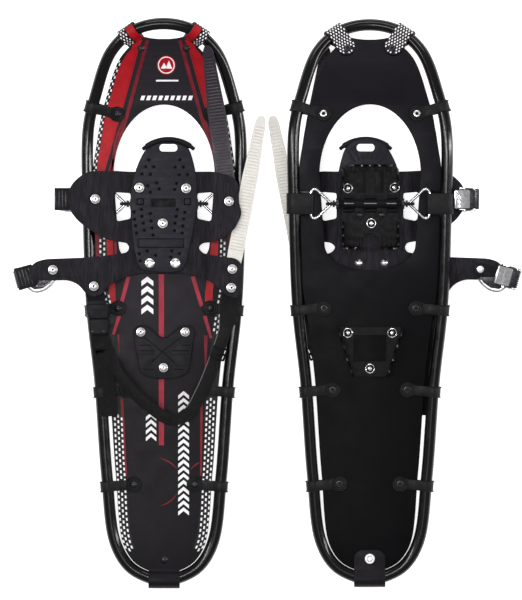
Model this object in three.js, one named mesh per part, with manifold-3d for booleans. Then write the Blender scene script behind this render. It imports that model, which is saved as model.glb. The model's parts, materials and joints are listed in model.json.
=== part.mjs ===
// A pair of oval-frame snowshoes lying side by side on level ground: the left one deck up, standing on
// its crampons, and the right one deck down, resting on its toe and its tail.
// Each shoe is drawn in its own frame in millimetres: +X to the wearer's right, +Y towards the toe,
// +Z away from the snow, with the origin on the deck's mid-plane above the binding's pivot.
import * as THREE from "three";
import { mergeVertices } from "three/addons/utils/BufferGeometryUtils.js";
import Module from "manifold-3d";

const wasm = await Module();
wasm.setup();

// ---- driving dimensions, mm ----
const TUBE_R = 8; // frame tube, 16 mm outside
const TUBE_BORE_R = 6.8;
const TUBE_STEPS = 44;
const TOE_RISE_FROM = 60; // the frame and deck start to curve up here
const TOE_RISE_R = 382; // radius of that upward curve
const SHOE_GAP = 277; // between the two shoes' centre lines

const CLEAR = 0.3; // gap between touching pieces
const DECK_T = 2;
// Between the deck's edge and the tube, as (y, gap): the deck nearly touches the tube beside the binding.
const DECK_EDGE_GAPS = [
  [-507, 5], [-180, 5], [-140, 3], [-118, 1.7],
  [50, 1.7], [80, 5], [105, 6.5], [250, 6.5],
];
const DECK_TOE_EDGE = 223; // where the deck's front edge crosses the centre line

const PIVOT_Z = -6; // axle, below the deck
const AXLE_R = 3;
const BARREL_R = 5.5;
const SNOW_Z = -30; // the crampons' points
const STEEL_T = 2.4;

const CLIP = { width: 15, reach: 35, end: 8.5, thick: 1.6 };
const CLIP_STATIONS = { front: 130, mid: -143, waist: -254, rear: -381 };
const CLIP_GAP = { flat: 0.3, curved: 0.9 }; // between a clip's legs and the deck
const TOE_TAB = { x: 46, width: 24, reach: 25, end: 12 };
const TAIL_TAB = { width: 42, reach: 28, end: 12 };
const PIVOT_STRAP = { width: 28, thick: 1.6 };
const LINK = { apex: 52, base: 79.5, half: 20, wire: 2 };

const HARNESS_T = 3;
const HARNESS_Z = 2.8; // underside below the foot plate
const WING_Z = 14.8; // underside of the arms where they pass over the frame
const WING_FROM = 46; // the arms rise from here ...
const WING_LEVEL = 66; // ... to here
const PLATE_Z = HARNESS_Z + HARNESS_T + CLEAR; // underside of the foot plate
const PLATE_T = 4;

const TOE_RIVET = { left: [-92, 6], right: [87.5, 3] };
const INSTEP_RIVET = { left: [-149, -89], right: [92, -88] };
const LADDER = { length: 210, tip: 15, end: 10, thick: 2, bend: 440 };
const TOE_LADDER_Z = 12.5; // the toe strap swings over the instep strap
const INSTEP_LADDER_Z = 10.2;
const BUCKLE = { tongue: 18, width: 30, length: 55, cheek: 2, pin: 1.6 };
const WEB_T = 1.8;
const WEB_W = 25;
const WEB_Z = 10.8;
const HEEL_FOLD_Y = -129; // the heel strap folds here, behind the harness's rear lobes

// ---- looks ----
const paint = (color, roughness, metalness = 0) =>
  new THREE.MeshStandardMaterial({ color, roughness, metalness });
const ANODISED = paint(0x121214, 0.3, 0.8);
const DECKING = paint(0x1c1b20, 0.6);
const URETHANE = paint(0x1a1a1c, 0.7);
const RUBBER = paint(0x242229, 0.8);
const MOULDED = paint(0x19181c, 0.5);
const BLACK_STEEL = paint(0x101012, 0.4, 0.7);
const BRIGHT_STEEL = paint(0xb8b8bc, 0.25, 1);
const CLEAR_PLASTIC = paint(0xc9c6c4, 0.35);
const WEBBING = paint(0x0e0e10, 0.9);

// ---- solids ----
const V = (x, y, z = 0) => new THREE.Vector3(x, y, z);
const moved = (geometry, matrix) => geometry.clone().applyMatrix4(matrix);

function solid(geometry) {
  const bare = new THREE.BufferGeometry().setAttribute("position", geometry.getAttribute("position"));
  if (geometry.index) bare.setIndex(geometry.index);
  const merged = mergeVertices(bare, 1e-4);
  return new wasm.Manifold(
    new wasm.Mesh({
      numProp: 3,
      vertProperties: merged.attributes.position.array,
      triVerts: new Uint32Array(merged.index.array),
    }),
  );
}

function geometryOf(manifold) {
  const { numProp, vertProperties, triVerts } = manifold.getMesh();
  const position = new Float32Array((vertProperties.length / numProp) * 3);
  for (let i = 0; i < position.length / 3; i++)
    position.set(vertProperties.subarray(i * numProp, i * numProp + 3), i * 3);
  return new THREE.BufferGeometry()
    .setAttribute("position", new THREE.BufferAttribute(position, 3))
    .setIndex(new THREE.BufferAttribute(new Uint32Array(triVerts), 1));
}

const union = (...solids) => solids.reduce((all, one) => all.add(one));
const turned = (manifold, angle, [x, y] = [0, 0]) =>
  solid(moved(geometryOf(manifold), new THREE.Matrix4().makeRotationZ(angle).setPosition(x, y, 0)));

// An outline in plan made into a plate from z0 up.
function plate(shape, z0, thick, curveSegments = 6) {
  const flat = new THREE.ExtrudeGeometry(shape, { depth: thick, bevelEnabled: false, curveSegments });
  return solid(flat.translate(0, 0, z0));
}

// A profile drawn in (across, up) and extruded by width, centred, along the third axis.
const ALONG_X = new THREE.Matrix4().makeBasis(V(0, 1, 0), V(0, 0, 1), V(1, 0, 0)); // profile in Y, Z
const ALONG_Y = new THREE.Matrix4().makeBasis(V(1, 0, 0), V(0, 0, 1), V(0, -1, 0)); // profile in X, Z
function profile(shape, width, matrix, offset = 0, curveSegments = 6) {
  const flat = new THREE.ExtrudeGeometry(shape, { depth: width, bevelEnabled: false, curveSegments });
  return solid(moved(flat.translate(0, 0, offset - width / 2), matrix));
}

const polygon = (points) => new THREE.Shape(points.map(([x, y]) => new THREE.Vector2(x, y)));
const box = (x0, x1, y0, y1, z0, z1) =>
  solid(
    new THREE.BoxGeometry(x1 - x0, y1 - y0, z1 - z0).translate((x0 + x1) / 2, (y0 + y1) / 2, (z0 + z1) / 2),
  );
const mirroredX = (points) => [...points, ...points.map(([x, y]) => [-x, y]).reverse()];

function roundedBox(x0, x1, y0, y1, z0, z1, r) {
  const s = new THREE.Shape();
  s.moveTo(x0 + r, y0).lineTo(x1 - r, y0).absarc(x1 - r, y0 + r, r, -Math.PI / 2, 0);
  s.lineTo(x1, y1 - r).absarc(x1 - r, y1 - r, r, 0, Math.PI / 2);
  s.lineTo(x0 + r, y1).absarc(x0 + r, y1 - r, r, Math.PI / 2, Math.PI);
  s.lineTo(x0, y0 + r).absarc(x0 + r, y0 + r, r, Math.PI, 1.5 * Math.PI);
  return plate(s, z0, z1 - z0, 3);
}

// A rod or tube about an axis through (x, y, z) that runs along X or Y.
function rod(axis, [x, y, z], from, to, r, sides = 12) {
  const c = new THREE.CylinderGeometry(r, r, to - from, sides).translate(0, (from + to) / 2, 0);
  if (axis === "x") c.rotateZ(-Math.PI / 2);
  return solid(c.translate(x, y, z));
}

function circle(r, sides) {
  const turn = (2 * Math.PI) / sides;
  return polygon(Array.from({ length: sides }, (_, i) => [r * Math.cos(i * turn), r * Math.sin(i * turn)]));
}

// ---- the frame tube's centre line ----
const rise = (y) =>
  y > TOE_RISE_FROM ? TOE_RISE_R - Math.sqrt(TOE_RISE_R ** 2 - (y - TOE_RISE_FROM) ** 2) : 0;
const slope = (y) => (y > TOE_RISE_FROM ? Math.asin((y - TOE_RISE_FROM) / TOE_RISE_R) : 0);

// Half of the loop in plan, from the tail's centre round the right side to the toe's centre.
const HALF_LOOP = [
  [22, -502.5],
  [47, -488],
  [66, -455],
  [77, -366],
  [86, -242],
  [97, -140],
  [101.5, -20],
  [102, 100],
  [92, 145],
  [70, 204],
  [38, 232],
];
const loopPoints = [
  [0.3, -507],
  ...HALF_LOOP,
  [0, 240],
  ...HALF_LOOP.map(([x, y]) => [-x, y]).reverse(),
  [-0.3, -507],
];
const loop = new THREE.CatmullRomCurve3(
  loopPoints.map(([x, y]) => V(x, y, rise(y))),
  false,
  "centripetal",
);

// The loop's point nearest a station on the right side, with its tangent and the way in along the deck.
function tubeAt(test) {
  let best = null;
  for (let i = 0; i <= 800; i++) {
    const p = loop.getPoint(i / 1600); // the right half comes first
    if (!best || test(p) < best.miss) best = { miss: test(p), t: i / 1600, p };
  }
  const along = loop.getTangent(best.t);
  const up = V(0, -Math.sin(slope(best.p.y)), Math.cos(slope(best.p.y)));
  const inward = up.clone().cross(along).normalize();
  return { p: best.p, along, up, inward };
}

function frameTube() {
  const ring = circle(TUBE_R, 10);
  ring.holes.push(circle(TUBE_BORE_R, 6));
  return new THREE.ExtrudeGeometry(ring, { steps: TUBE_STEPS, extrudePath: loop });
}

// ---- the bands that go round the tube ----
// The profile of a band that comes in over the deck, wraps the tube and goes back under the deck, drawn in
// (inward, up). Each leg is given by how far in it ends and the height of its inner face; slack lets a
// straight band clear a curving tube.
function wrapProfile({ top, bottom, thick, inner, slack = 0.6, joinAt = 17 }) {
  const arc = (r, out) =>
    Array.from({ length: 8 }, (_, i) => {
      const a = THREE.MathUtils.degToRad(55 + (250 / 7) * i);
      return [r * Math.cos(a) + Math.sign(Math.cos(a)) * out, r * Math.sin(a)];
    });
  const inside = [
    [top.reach, top.z],
    [joinAt, top.z],
    ...arc(inner, slack),
    [joinAt, bottom.z],
    [bottom.reach, bottom.z],
  ];
  const outside = [
    [top.reach, top.z + thick],
    [joinAt, top.z + thick],
    ...arc(inner + thick, slack),
    [joinAt, bottom.z - thick],
    [bottom.reach, bottom.z - thick],
  ];
  return polygon([...inside, ...outside.reverse()]);
}

// Seen from above: a strip of one width from beyond the tube to a rounded end about the rivet.
function tongue({ width, reach, end }) {
  const s = new THREE.Shape();
  s.moveTo(-16, -width / 2).lineTo(reach - end / 2, -width / 2);
  s.absarc(reach, 0, end, -Math.PI / 2, Math.PI / 2);
  return s.lineTo(reach - end / 2, width / 2).lineTo(-16, width / 2);
}

// Local axes: x inward along the deck, y along the tube, z up.
const atTube = ({ p, along, up, inward }) => {
  const y = up.clone().cross(inward);
  return new THREE.Matrix4().makeBasis(inward, y, up).setPosition(p.x, p.y, p.z);
};
const mirrorMatrix = new THREE.Matrix4().makeScale(-1, 1, 1);

// A copy mirrored to the left side, with its faces turned the right way out again.
function toLeft(geometry) {
  const g = moved(geometry.index ? geometry.toNonIndexed() : geometry, mirrorMatrix);
  const a = g.getAttribute("position").array;
  for (let i = 0; i < a.length; i += 9)
    for (let k = 0; k < 3; k++) [a[i + k], a[i + 3 + k]] = [a[i + 3 + k], a[i + k]];
  return g;
}

const onDeck = DECK_T / 2 + CLEAR;
function clip(station) {
  const end = CLIP.reach + CLIP.end + 1;
  const curved = station > TOE_RISE_FROM;
  const z = DECK_T / 2 + (curved ? CLIP_GAP.curved : CLIP_GAP.flat);
  const band = wrapProfile({
    top: { reach: end, z },
    bottom: { reach: end, z: -z },
    thick: CLIP.thick,
    inner: TUBE_R + CLEAR + (curved ? 0.9 : 0.2),
  });
  const strip = profile(band, 2 * CLIP.end, ALONG_Y).intersect(plate(tongue(CLIP), -20, 40, 3));
  return moved(geometryOf(strip), atTube(tubeAt((p) => Math.abs(p.y - station))));
}

// The deck's own tabs: the upper leg is the deck itself, and the lower one ends at its rivet.
function tab(size, at, slack) {
  const band = wrapProfile({
    top: { reach: 26, z: -DECK_T / 2 },
    bottom: { reach: size.reach + size.end, z: -onDeck },
    thick: DECK_T,
    inner: TUBE_R + CLEAR + 0.9,
    slack,
    joinAt: 20,
  });
  const cut = union(
    plate(tongue(size), -30, 60),
    box(-16, size.reach, -size.width / 2, size.width / 2, -30, 30),
  );
  return solid(moved(geometryOf(profile(band, size.width, ALONG_Y).intersect(cut)), atTube(at)));
}

// ---- deck ----
// A sheet curved up at the toe: the same side profile as the tube's centre line.
function curvedSheet(thick, width) {
  const ys = [-530, TOE_RISE_FROM];
  for (let i = 1; i <= 10; i++) ys.push(TOE_RISE_FROM + 20 * i);
  const top = ys.map((y) => [y, rise(y) + thick / 2]);
  const bottom = ys.map((y) => [y, rise(y) - thick / 2]).reverse();
  return profile(polygon([...bottom.reverse(), ...top.reverse()]), width, ALONG_X);
}

// The window that the toe of the boot swings down through.
const OPENING = { half: 68, top: 133, shoulder: 38, waist: 61, bottomFrom: -55, bottom: -90 };
function openingShape() {
  const s = new THREE.Shape();
  s.moveTo(OPENING.half, OPENING.shoulder);
  s.absellipse(0, OPENING.shoulder, OPENING.half, OPENING.top - OPENING.shoulder, 0, Math.PI);
  s.lineTo(-OPENING.waist, OPENING.bottomFrom);
  const depth = OPENING.bottomFrom - OPENING.bottom;
  s.absellipse(0, OPENING.bottomFrom, OPENING.waist, depth, Math.PI, 2 * Math.PI);
  return s;
}

function edgeGap(y) {
  const i = DECK_EDGE_GAPS.findIndex(([at]) => at >= y);
  const [y0, g0] = DECK_EDGE_GAPS[Math.max(0, i - 1)];
  const [y1, g1] = DECK_EDGE_GAPS[Math.max(0, i)];
  return y1 > y0 ? g0 + ((g1 - g0) * (y - y0)) / (y1 - y0) : g0;
}

function deckOutline() {
  const half = [];
  for (let i = 0; i <= 36; i++) {
    const t = (i / 36) * 0.5;
    const p = loop.getPointAt(t);
    const along = loop.getTangentAt(t);
    const flat = Math.hypot(along.x, along.y);
    const inset = TUBE_R + edgeGap(p.y);
    half.push([p.x - (inset * along.y) / flat, p.y + (inset * along.x) / flat]);
  }
  const side = half.filter(([x, y]) => x > 2 && (y < 150 || x > 46));
  const toe = [[35, -3.5], [27, 0], [17, -2], [7, -3]].map(([x, dy]) => [x, DECK_TOE_EDGE + dy]);
  return mirroredX([...side, ...toe]);
}

function deck() {
  const toeAt = tubeAt((p) => (p.y > 0 ? Math.abs(p.x - TOE_TAB.x) : 1e3));
  const tailAt = { p: V(0, -507, 0), along: V(1, 0, 0), up: V(0, 0, 1), inward: V(0, 1, 0) };
  const toeTab = tab(TOE_TAB, toeAt, 2);
  const sheet = curvedSheet(DECK_T, 240).intersect(plate(polygon(deckOutline()), -40, 120));
  const strapNotch = (side) =>
    box(Math.min(side * 76, side * 130), Math.max(side * 76, side * 130), -17, 17, -20, 20);
  return geometryOf(
    union(sheet, toeTab, solid(toLeft(geometryOf(toeTab))), tab(TAIL_TAB, tailAt, 5.6))
      .subtract(plate(openingShape(), -40, 120, 7))
      .subtract(strapNotch(1))
      .subtract(strapNotch(-1)),
  );
}

// ---- the pivot: straps, wire links and axle, all held by the frame ----
// A belt round two circles, drawn in (inward, up) like the wraps.
function beltShape(r1, r2, [dx, dz]) {
  const d = Math.hypot(dx, dz);
  const lean = Math.atan2(dz, dx);
  const spread = Math.acos((r1 - r2) / d);
  const around = (cx, cz, r, from, to, n) =>
    Array.from({ length: n + 1 }, (_, i) => {
      const a = lean + from + ((to - from) * i) / n;
      return [cx + r * Math.cos(a), cz + r * Math.sin(a)];
    });
  return [...around(0, 0, r1, spread, 2 * Math.PI - spread, 10), ...around(dx, dz, r2, -spread, spread, 5)];
}

function pivotStrap() {
  const at = tubeAt((p) => Math.abs(p.y));
  const reach = [at.p.x - LINK.base, PIVOT_Z];
  const wire = LINK.wire + CLEAR + 0.2;
  const round = TUBE_R + CLEAR + 0.3;
  const belt = polygon(beltShape(round + PIVOT_STRAP.thick, wire + PIVOT_STRAP.thick, reach));
  belt.holes.push(polygon(beltShape(round, wire, reach)));
  const inward = { p: at.p, along: V(0, 1, 0), up: V(0, 0, 1), inward: V(-1, 0, 0) };
  return moved(geometryOf(profile(belt, PIVOT_STRAP.width, ALONG_Y)), atTube(inward));
}

// A bent wire triangle: its ends butt inside the strap, and its apex passes through the axle's eye.
function wireLink() {
  const { apex, base, half } = LINK;
  const side = [
    [base, 0.4],
    [base, half - 5],
    [base - 2.5, half - 1],
    [base - 7, half - 1],
    [base - 16, half - 9],
    [apex + 3, 3],
  ];
  const points = [...side, [apex, 0], ...side.map(([x, y]) => [x, -y]).reverse()];
  const path = new THREE.CatmullRomCurve3(points.map(([x, y]) => V(x, y, PIVOT_Z)), false, "centripetal");
  return new THREE.ExtrudeGeometry(circle(LINK.wire, 6), { steps: 26, extrudePath: path });
}

function pivotAxle() {
  const eye = (side) => {
    const [x0, x1] = [side * (LINK.apex - 6), side * (LINK.apex + 7.5)].sort((a, b) => a - b);
    const [h0, h1] = [side * (LINK.apex - 2.8), side * (LINK.apex + 4.8)].sort((a, b) => a - b);
    const block = box(x0, x1, -2, 2, PIVOT_Z - 5, PIVOT_Z + 5);
    return block.subtract(box(h0, h1, -5, 5, PIVOT_Z - 2.7, PIVOT_Z + 2.7));
  };
  const shaft = rod("x", [0, 0, PIVOT_Z], -(LINK.apex - 5), LINK.apex - 5, AXLE_R);
  return geometryOf(union(shaft, eye(1), eye(-1)));
}

// ---- crampons ----
// A row of points: a strip along u from the plate down, cut to teeth at its lower edge.
function teeth(from, to, count, top, gum) {
  const pitch = (to - from) / count;
  const edge = [[from, top]];
  for (let i = 0; i < count; i++)
    edge.push(
      [from + i * pitch, gum],
      [from + (i + 0.38) * pitch, SNOW_Z],
      [from + (i + 0.62) * pitch, SNOW_Z],
    );
  return polygon([...edge, [to, gum], [to, top]]);
}

const CRAMPON = { half: 38, front: 53, rear: -60, top: STEEL_T };
function toeCrampon() {
  const { half, front, rear } = CRAMPON;
  const base = new THREE.Shape();
  base.moveTo(half, rear).lineTo(half, front - 6).lineTo(half - 8, front).lineTo(8 - half, front);
  base.lineTo(-half, front - 6).lineTo(-half, rear).lineTo(-12, rear).lineTo(-12, rear + 8);
  base.absarc(0, rear + 8, 12, Math.PI, 0, true).lineTo(12, rear);
  const blade = (y, from, to, count) =>
    profile(teeth(from, to, count, CRAMPON.top, -16), STEEL_T, ALONG_Y, -y);
  const flank = (x, from, to, count) =>
    profile(teeth(from, to, count, CRAMPON.top, -14), STEEL_T, ALONG_X, x);
  const x = half - STEEL_T / 2;
  return geometryOf(
    union(
      plate(base, 0, STEEL_T),
      blade(front - STEEL_T / 2, 8 - half, half - 8, 5),
      blade(rear + STEEL_T / 2, -half, -14, 2),
      blade(rear + STEEL_T / 2, 14, half, 2),
      flank(x, 20, front - 6, 2),
      flank(-x, 20, front - 6, 2),
      flank(x, rear, -24, 3),
      flank(-x, rear, -24, 3),
    ),
  );
}

// The barrel that turns on the axle, with its two saddle tongues.
function hingeBarrel() {
  const saddle = (x) => {
    const s = new THREE.Shape();
    s.moveTo(x - 6, -2).lineTo(x - 6, -15).absarc(x, -15, 6, Math.PI, 2 * Math.PI).lineTo(x + 6, -2);
    return union(
      plate(s, -CLEAR - 2, 2, 4),
      rod("x", [x, 0, PIVOT_Z], -6, 6, BARREL_R + 0.2).intersect(box(x - 6, x + 6, -6, 6, -13, -CLEAR)),
    );
  };
  const barrel = rod("x", [0, 0, PIVOT_Z], -35, 35, BARREL_R);
  const bore = rod("x", [0, 0, PIVOT_Z], -40, 40, AXLE_R + CLEAR);
  return geometryOf(union(barrel, saddle(15), saddle(-15)).subtract(bore));
}

const HEEL = { top: -166, bottom: -233, wide: 45, narrow: 24 };
function heelCrampon() {
  const z1 = -onDeck - 0.1;
  const lean = Math.atan2(HEEL.wide - HEEL.narrow, HEEL.top - HEEL.bottom);
  const length = Math.hypot(HEEL.wide - HEEL.narrow, HEEL.top - HEEL.bottom);
  const outline = polygon([
    [HEEL.narrow, HEEL.bottom],
    [HEEL.wide, HEEL.top],
    [-HEEL.wide, HEEL.top],
    [-HEEL.narrow, HEEL.bottom],
  ]);
  const base = plate(outline, z1 - STEEL_T, STEEL_T).subtract(box(-22, 22, -212, -177, -20, 20));
  const blade = profile(teeth(0, length, 4, z1, -15), STEEL_T, ALONG_X, -STEEL_T / 2);
  const right = turned(blade, -lean, [HEEL.narrow, HEEL.bottom]);
  return geometryOf(union(base, right, solid(toLeft(geometryOf(right)))));
}

// ---- binding ----
const spline = (points) => {
  const s = new THREE.Shape();
  s.moveTo(...points[0]);
  return s.splineThru(points.slice(1).map(([x, y]) => new THREE.Vector2(x, y)));
};
const splinePlate = (points, z0, thick, n) =>
  plate(polygon(spline(points).getSpacedPoints(n).slice(0, -1).map((p) => [p.x, p.y])), z0, thick);

// A sole-shaped plate, its toe swung a little to the big-toe side, with a slot at the toe and a window
// over the axle.
function footPlate() {
  const outline = [
    [-20, -91],
    [20, -91],
    [30, -82],
    [38, -54],
    [43.5, -15],
    [44.3, 12],
    [43, 36],
    [40, 58],
    [33, 75],
    [20, 84],
    [6, 87],
    [-9, 84],
    [-22, 76],
    [-32, 60],
    [-39, 41],
    [-43.5, 20],
    [-44.4, -8],
    [-41.5, -43],
    [-36, -80],
    [-30, -88],
    [-20, -91],
  ];
  const body = splinePlate(outline, PLATE_Z, PLATE_T, 44);
  const lip = new THREE.Shape();
  lip.absarc(6, 34, 55, 0.28 * Math.PI, 0.72 * Math.PI);
  lip.absarc(6, 34, 49, 0.72 * Math.PI, 0.28 * Math.PI, true);
  return geometryOf(
    union(body, plate(lip, PLATE_Z, PLATE_T + 4, 10))
      .subtract(roundedBox(-6, 18, 70, 80, 0, 30, 4.5))
      .subtract(box(-16.5, 16.5, -5, 6.5, 0, 30)),
  );
}

// One moulded rubber sheet: a spine under the foot plate and four arms, with a window in each toe arm
// for the links. The arms rise to pass over the frame.
const HARNESS = [
  [-44, 43],
  [-100, 43.5],
  [-114, 36],
  [-125, 24.5],
  [-130.5, 9],
  [-127, -8],
  [-117, -22],
  [-102, -34],
  [-80, -47],
  [-64, -51],
  [-50, -53],
  [-46.5, -59],
  [-50, -65.5],
  [-64, -68.5],
  [-104, -72.5],
  [-160, -74.5],
  [-174, -79],
  [-182, -90],
  [-179, -103.5],
  [-128, -103],
  [-114, -109],
  [-105, -121],
  [-94, -126],
  [-82, -121],
  [-74, -110],
  [-50, -97.5],
  [-32, -94],
  [30, -94],
  [52, -100],
  [68, -108],
  [78, -119],
  [89, -127],
  [101, -126],
  [106, -116],
  [106, -83],
  [97, -73.5],
  [70, -70.5],
  [52, -66.5],
  [46, -59],
  [52, -53],
  [66, -52],
  [81, -46],
  [95, -35],
  [105, -14],
  [101, 0],
  [100, 28],
  [91, 37],
  [68, 43],
  [44, 43],
];
function harness() {
  const z = [
    [-200, WING_Z],
    [-WING_LEVEL, WING_Z],
    [-WING_FROM, HARNESS_Z],
    [WING_FROM, HARNESS_Z],
    [WING_LEVEL, WING_Z],
    [140, WING_Z],
  ];
  const sheet = polygon([...z, ...z.map(([x, h]) => [x, h + HARNESS_T]).reverse()]);
  const spine = box(-16.5, 16.5, -5, 6.5, -10, 50);
  return geometryOf(
    profile(sheet, 300, ALONG_Y)
      .intersect(plate(polygon(HARNESS), -10, 60))
      .subtract(windowsOf(1))
      .subtract(windowsOf(-1))
      .subtract(spine),
  );
}

function windowsOf(side) {
  const half = [
    [45, -20],
    [62, -24],
    [68, -14],
    [68, 11],
    [64, 15],
    [45, 14],
  ].map(([x, y]) => [side * x, y]);
  return plate(polygon(side > 0 ? half : half.reverse()), -10, 60);
}

// A toothed strap's blank: flat under the harness and then curving up towards its tapered tip.
function ladder([x, y], z, width, heading, bendFrom) {
  const { length, tip, end, thick, bend } = LADDER;
  const lift = (v) => (v > bendFrom ? (v - bendFrom) ** 2 / (2 * bend) : 0);
  const vs = [-12, bendFrom];
  for (let v = bendFrom + 24; v < length; v += 24) vs.push(v);
  vs.push(length);
  const line = vs.map((v) => [v, z + lift(v)]);
  const side = polygon([...line, ...line.map(([v, h]) => [v, h + thick]).reverse()]);
  const plan = new THREE.Shape();
  plan.moveTo(-width / 2, 24).lineTo(-end, 0).absarc(0, 0, end, Math.PI, 2 * Math.PI);
  plan.lineTo(width / 2, 24).lineTo(width / 2, length * 0.6);
  plan.lineTo(tip / 2, length - 14).lineTo(2, length - 2);
  plan.lineTo(-2, length - 2).lineTo(-tip / 2, length - 14).lineTo(-width / 2, length * 0.6);
  const blank = profile(side, width + 4, ALONG_X).intersect(plate(plan, -10, 120, 4));
  return geometryOf(turned(blank, heading, [x, y]));
}

// The ratchet buckle, drawn with its rivet at the origin and its mouth at +X. It hangs under the harness:
// its floor plate is uppermost, and heights are counted down from the floor's lower face.
const BUCKLE_Z = 12.5;
const PIN = { x: -48, z: BUCKLE_Z - 8.7 };
function buckleBase() {
  const { tongue: narrow, width, length, cheek, pin } = BUCKLE;
  const top = BUCKLE_Z + 2;
  const floor = new THREE.Shape();
  floor.moveTo(0, -narrow / 2).absarc(0, 0, narrow / 2, -Math.PI / 2, Math.PI / 2);
  floor.lineTo(-20, narrow / 2).lineTo(-25, width / 2).lineTo(-length, width / 2);
  floor.lineTo(-length, -width / 2).lineTo(-25, -width / 2).lineTo(-20, -narrow / 2);
  const ear = new THREE.Shape();
  ear.moveTo(-length, top).lineTo(-length, PIN.z + 1.5).absarc(PIN.x, PIN.z, 6, Math.PI, 1.75 * Math.PI);
  ear.lineTo(-28, BUCKLE_Z - 3).lineTo(-25, top);
  const cheekAt = (y) => profile(ear, cheek, ALONG_Y, y, 4);
  const y = (width - cheek) / 2;
  const pinHole = rod("y", [PIN.x, 0, PIN.z], -30, 30, pin + CLEAR);
  return union(plate(floor, BUCKLE_Z, 2, 4), cheekAt(y), cheekAt(-y)).subtract(pinHole);
}

// The spring-loaded lever that bites the strap; it turns on its pin between the cheeks.
function buckleLever() {
  const half = BUCKLE.width / 2 - BUCKLE.cheek - 0.5;
  const grip = [
    [-2, 2],
    [-4, -1.5],
    [0, -4.5],
    [18, -5.5],
    [26, -8],
    [27, -6],
    [19, -3],
    [4, -1.5],
    [2, 2.5],
  ].map(([x, z]) => [PIN.x + x, PIN.z + z]);
  const pin = rod("y", [PIN.x, 0, PIN.z], -BUCKLE.width / 2, BUCKLE.width / 2, BUCKLE.pin);
  return union(profile(polygon(grip), 2 * half, ALONG_Y), pin);
}

// Placed on the harness: the drawn -X side points out from the foot.
const placeBuckle = (piece, [x, y], turn) => geometryOf(turned(piece, turn, [x, y]));
const INSTEP_TURN = THREE.MathUtils.degToRad(15);

// ---- heel strap ----
const WEB_PATH = [
  [-86, -181],
  [-76, -208],
  [-55, -250],
  [-20, -276],
  [10, -290],
  [32, -282],
  [50, -252],
  [66, -214],
  [79, -180],
  [87, -150],
  [89, HEEL_FOLD_Y],
];
const WEB_TAIL = [
  [-86, -181],
  [-83, -215],
  [-79, -288],
];
function ribbon(points, width, z0, thick, n) {
  const path = new THREE.CatmullRomCurve3(points.map(([x, y]) => V(x, y)), false, "centripetal");
  const sideOf = (sign) =>
    Array.from({ length: n + 1 }, (_, i) => {
      const p = path.getPointAt(i / n);
      const t = path.getTangentAt(i / n);
      return [p.x - sign * t.y * (width / 2), p.y + sign * t.x * (width / 2)];
    });
  return plate(polygon([...sideOf(-1), ...sideOf(1).reverse()]), z0, thick);
}

function heelStrap() {
  const tail = ribbon(WEB_TAIL, WEB_W, WEB_Z, WEB_T, 4);
  return geometryOf(union(ribbon(WEB_PATH, WEB_W, WEB_Z, WEB_T, 22), tail));
}

const CLASP = { x: -89, half: 15, top: HEEL_FOLD_Y - 0.5, split: -155, bottom: -176.5, z0: 10.8, z1: 19.8 };
function claspFemale() {
  const { x, half, top, split, z0, z1 } = CLASP;
  return geometryOf(
    roundedBox(x - half, x + half, split, top, z0, z1, 3)
      .subtract(box(x - half + 3, x + half - 3, split - 5, top - 4, z0 + 2, z1 - 2))
      .subtract(box(x - half - 2, x + half + 2, split + 5, top - 9, z0 + 2, z1 - 2)),
  );
}

function claspMale() {
  const { x, half, split, bottom, z0, z1 } = CLASP;
  const prong = (a, b) => box(x + a, x + b, split - 3, split + 17, z0 + 2.5, z1 - 2.5);
  return geometryOf(
    union(
      roundedBox(x - half, x + half, bottom, split - 0.5, z0, z1 - 0.5, 3),
      prong(-11, -7.5),
      prong(7.5, 11),
      prong(-2, 2),
    ).subtract(box(x - 11, x + 11, bottom + 4, bottom + 8, z0 - 1, z1 + 1)),
  );
}

// ---- heel plate ----
function heelPlate() {
  const outline = polygon(
    mirroredX([
      [10, -237],
      [35, -229],
      [42, -192],
      [42, -170],
      [36, -164],
      [24, -164],
      [4, -180],
    ]),
  );
  return geometryOf(plate(outline, onDeck, 3));
}

// ---- one shoe ----
function shoe(side) {
  const group = new THREE.Group();
  const add = (name, geometry, material) => {
    const mesh = new THREE.Mesh(geometry, material);
    mesh.name = `${side}_${name}`;
    group.add(mesh);
  };
  const both = (name, geometry, material) => {
    add(`${name}_right`, geometry, material);
    add(`${name}_left`, toLeft(geometry), material);
  };
  add("frame_tube", frameTube(), ANODISED);
  add("deck", deck(), DECKING);
  for (const [name, station] of Object.entries(CLIP_STATIONS))
    both(`${name}_clip`, clip(station), URETHANE);
  both("pivot_strap", pivotStrap(), URETHANE);
  both("wire_link", wireLink(), BRIGHT_STEEL);
  add("pivot_axle", pivotAxle(), BLACK_STEEL);
  add("heel_plate", heelPlate(), MOULDED);
  add("heel_crampon", heelCrampon(), BLACK_STEEL);
  add("hinge_barrel", hingeBarrel(), BLACK_STEEL);
  add("toe_crampon", toeCrampon(), BLACK_STEEL);
  add("harness", harness(), RUBBER);
  add("foot_plate", footPlate(), MOULDED);
  add("toe_buckle_base", placeBuckle(buckleBase(), TOE_RIVET.left, 0), BLACK_STEEL);
  add("toe_buckle_lever", placeBuckle(buckleLever(), TOE_RIVET.left, 0), BRIGHT_STEEL);
  add("instep_buckle_base", placeBuckle(buckleBase(), INSTEP_RIVET.left, INSTEP_TURN), BLACK_STEEL);
  add("instep_buckle_lever", placeBuckle(buckleLever(), INSTEP_RIVET.left, INSTEP_TURN), BRIGHT_STEEL);
  add("toe_ladder_strap", ladder(TOE_RIVET.right, TOE_LADDER_Z, 24, 0.14, 40), CLEAR_PLASTIC);
  add("instep_ladder_strap", ladder(INSTEP_RIVET.right, INSTEP_LADDER_Z, 21, -0.19, 135), CLEAR_PLASTIC);
  add("heel_strap", heelStrap(), WEBBING);
  add("clasp_female", claspFemale(), MOULDED);
  add("clasp_male", claspMale(), MOULDED);
  return group;
}

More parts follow.
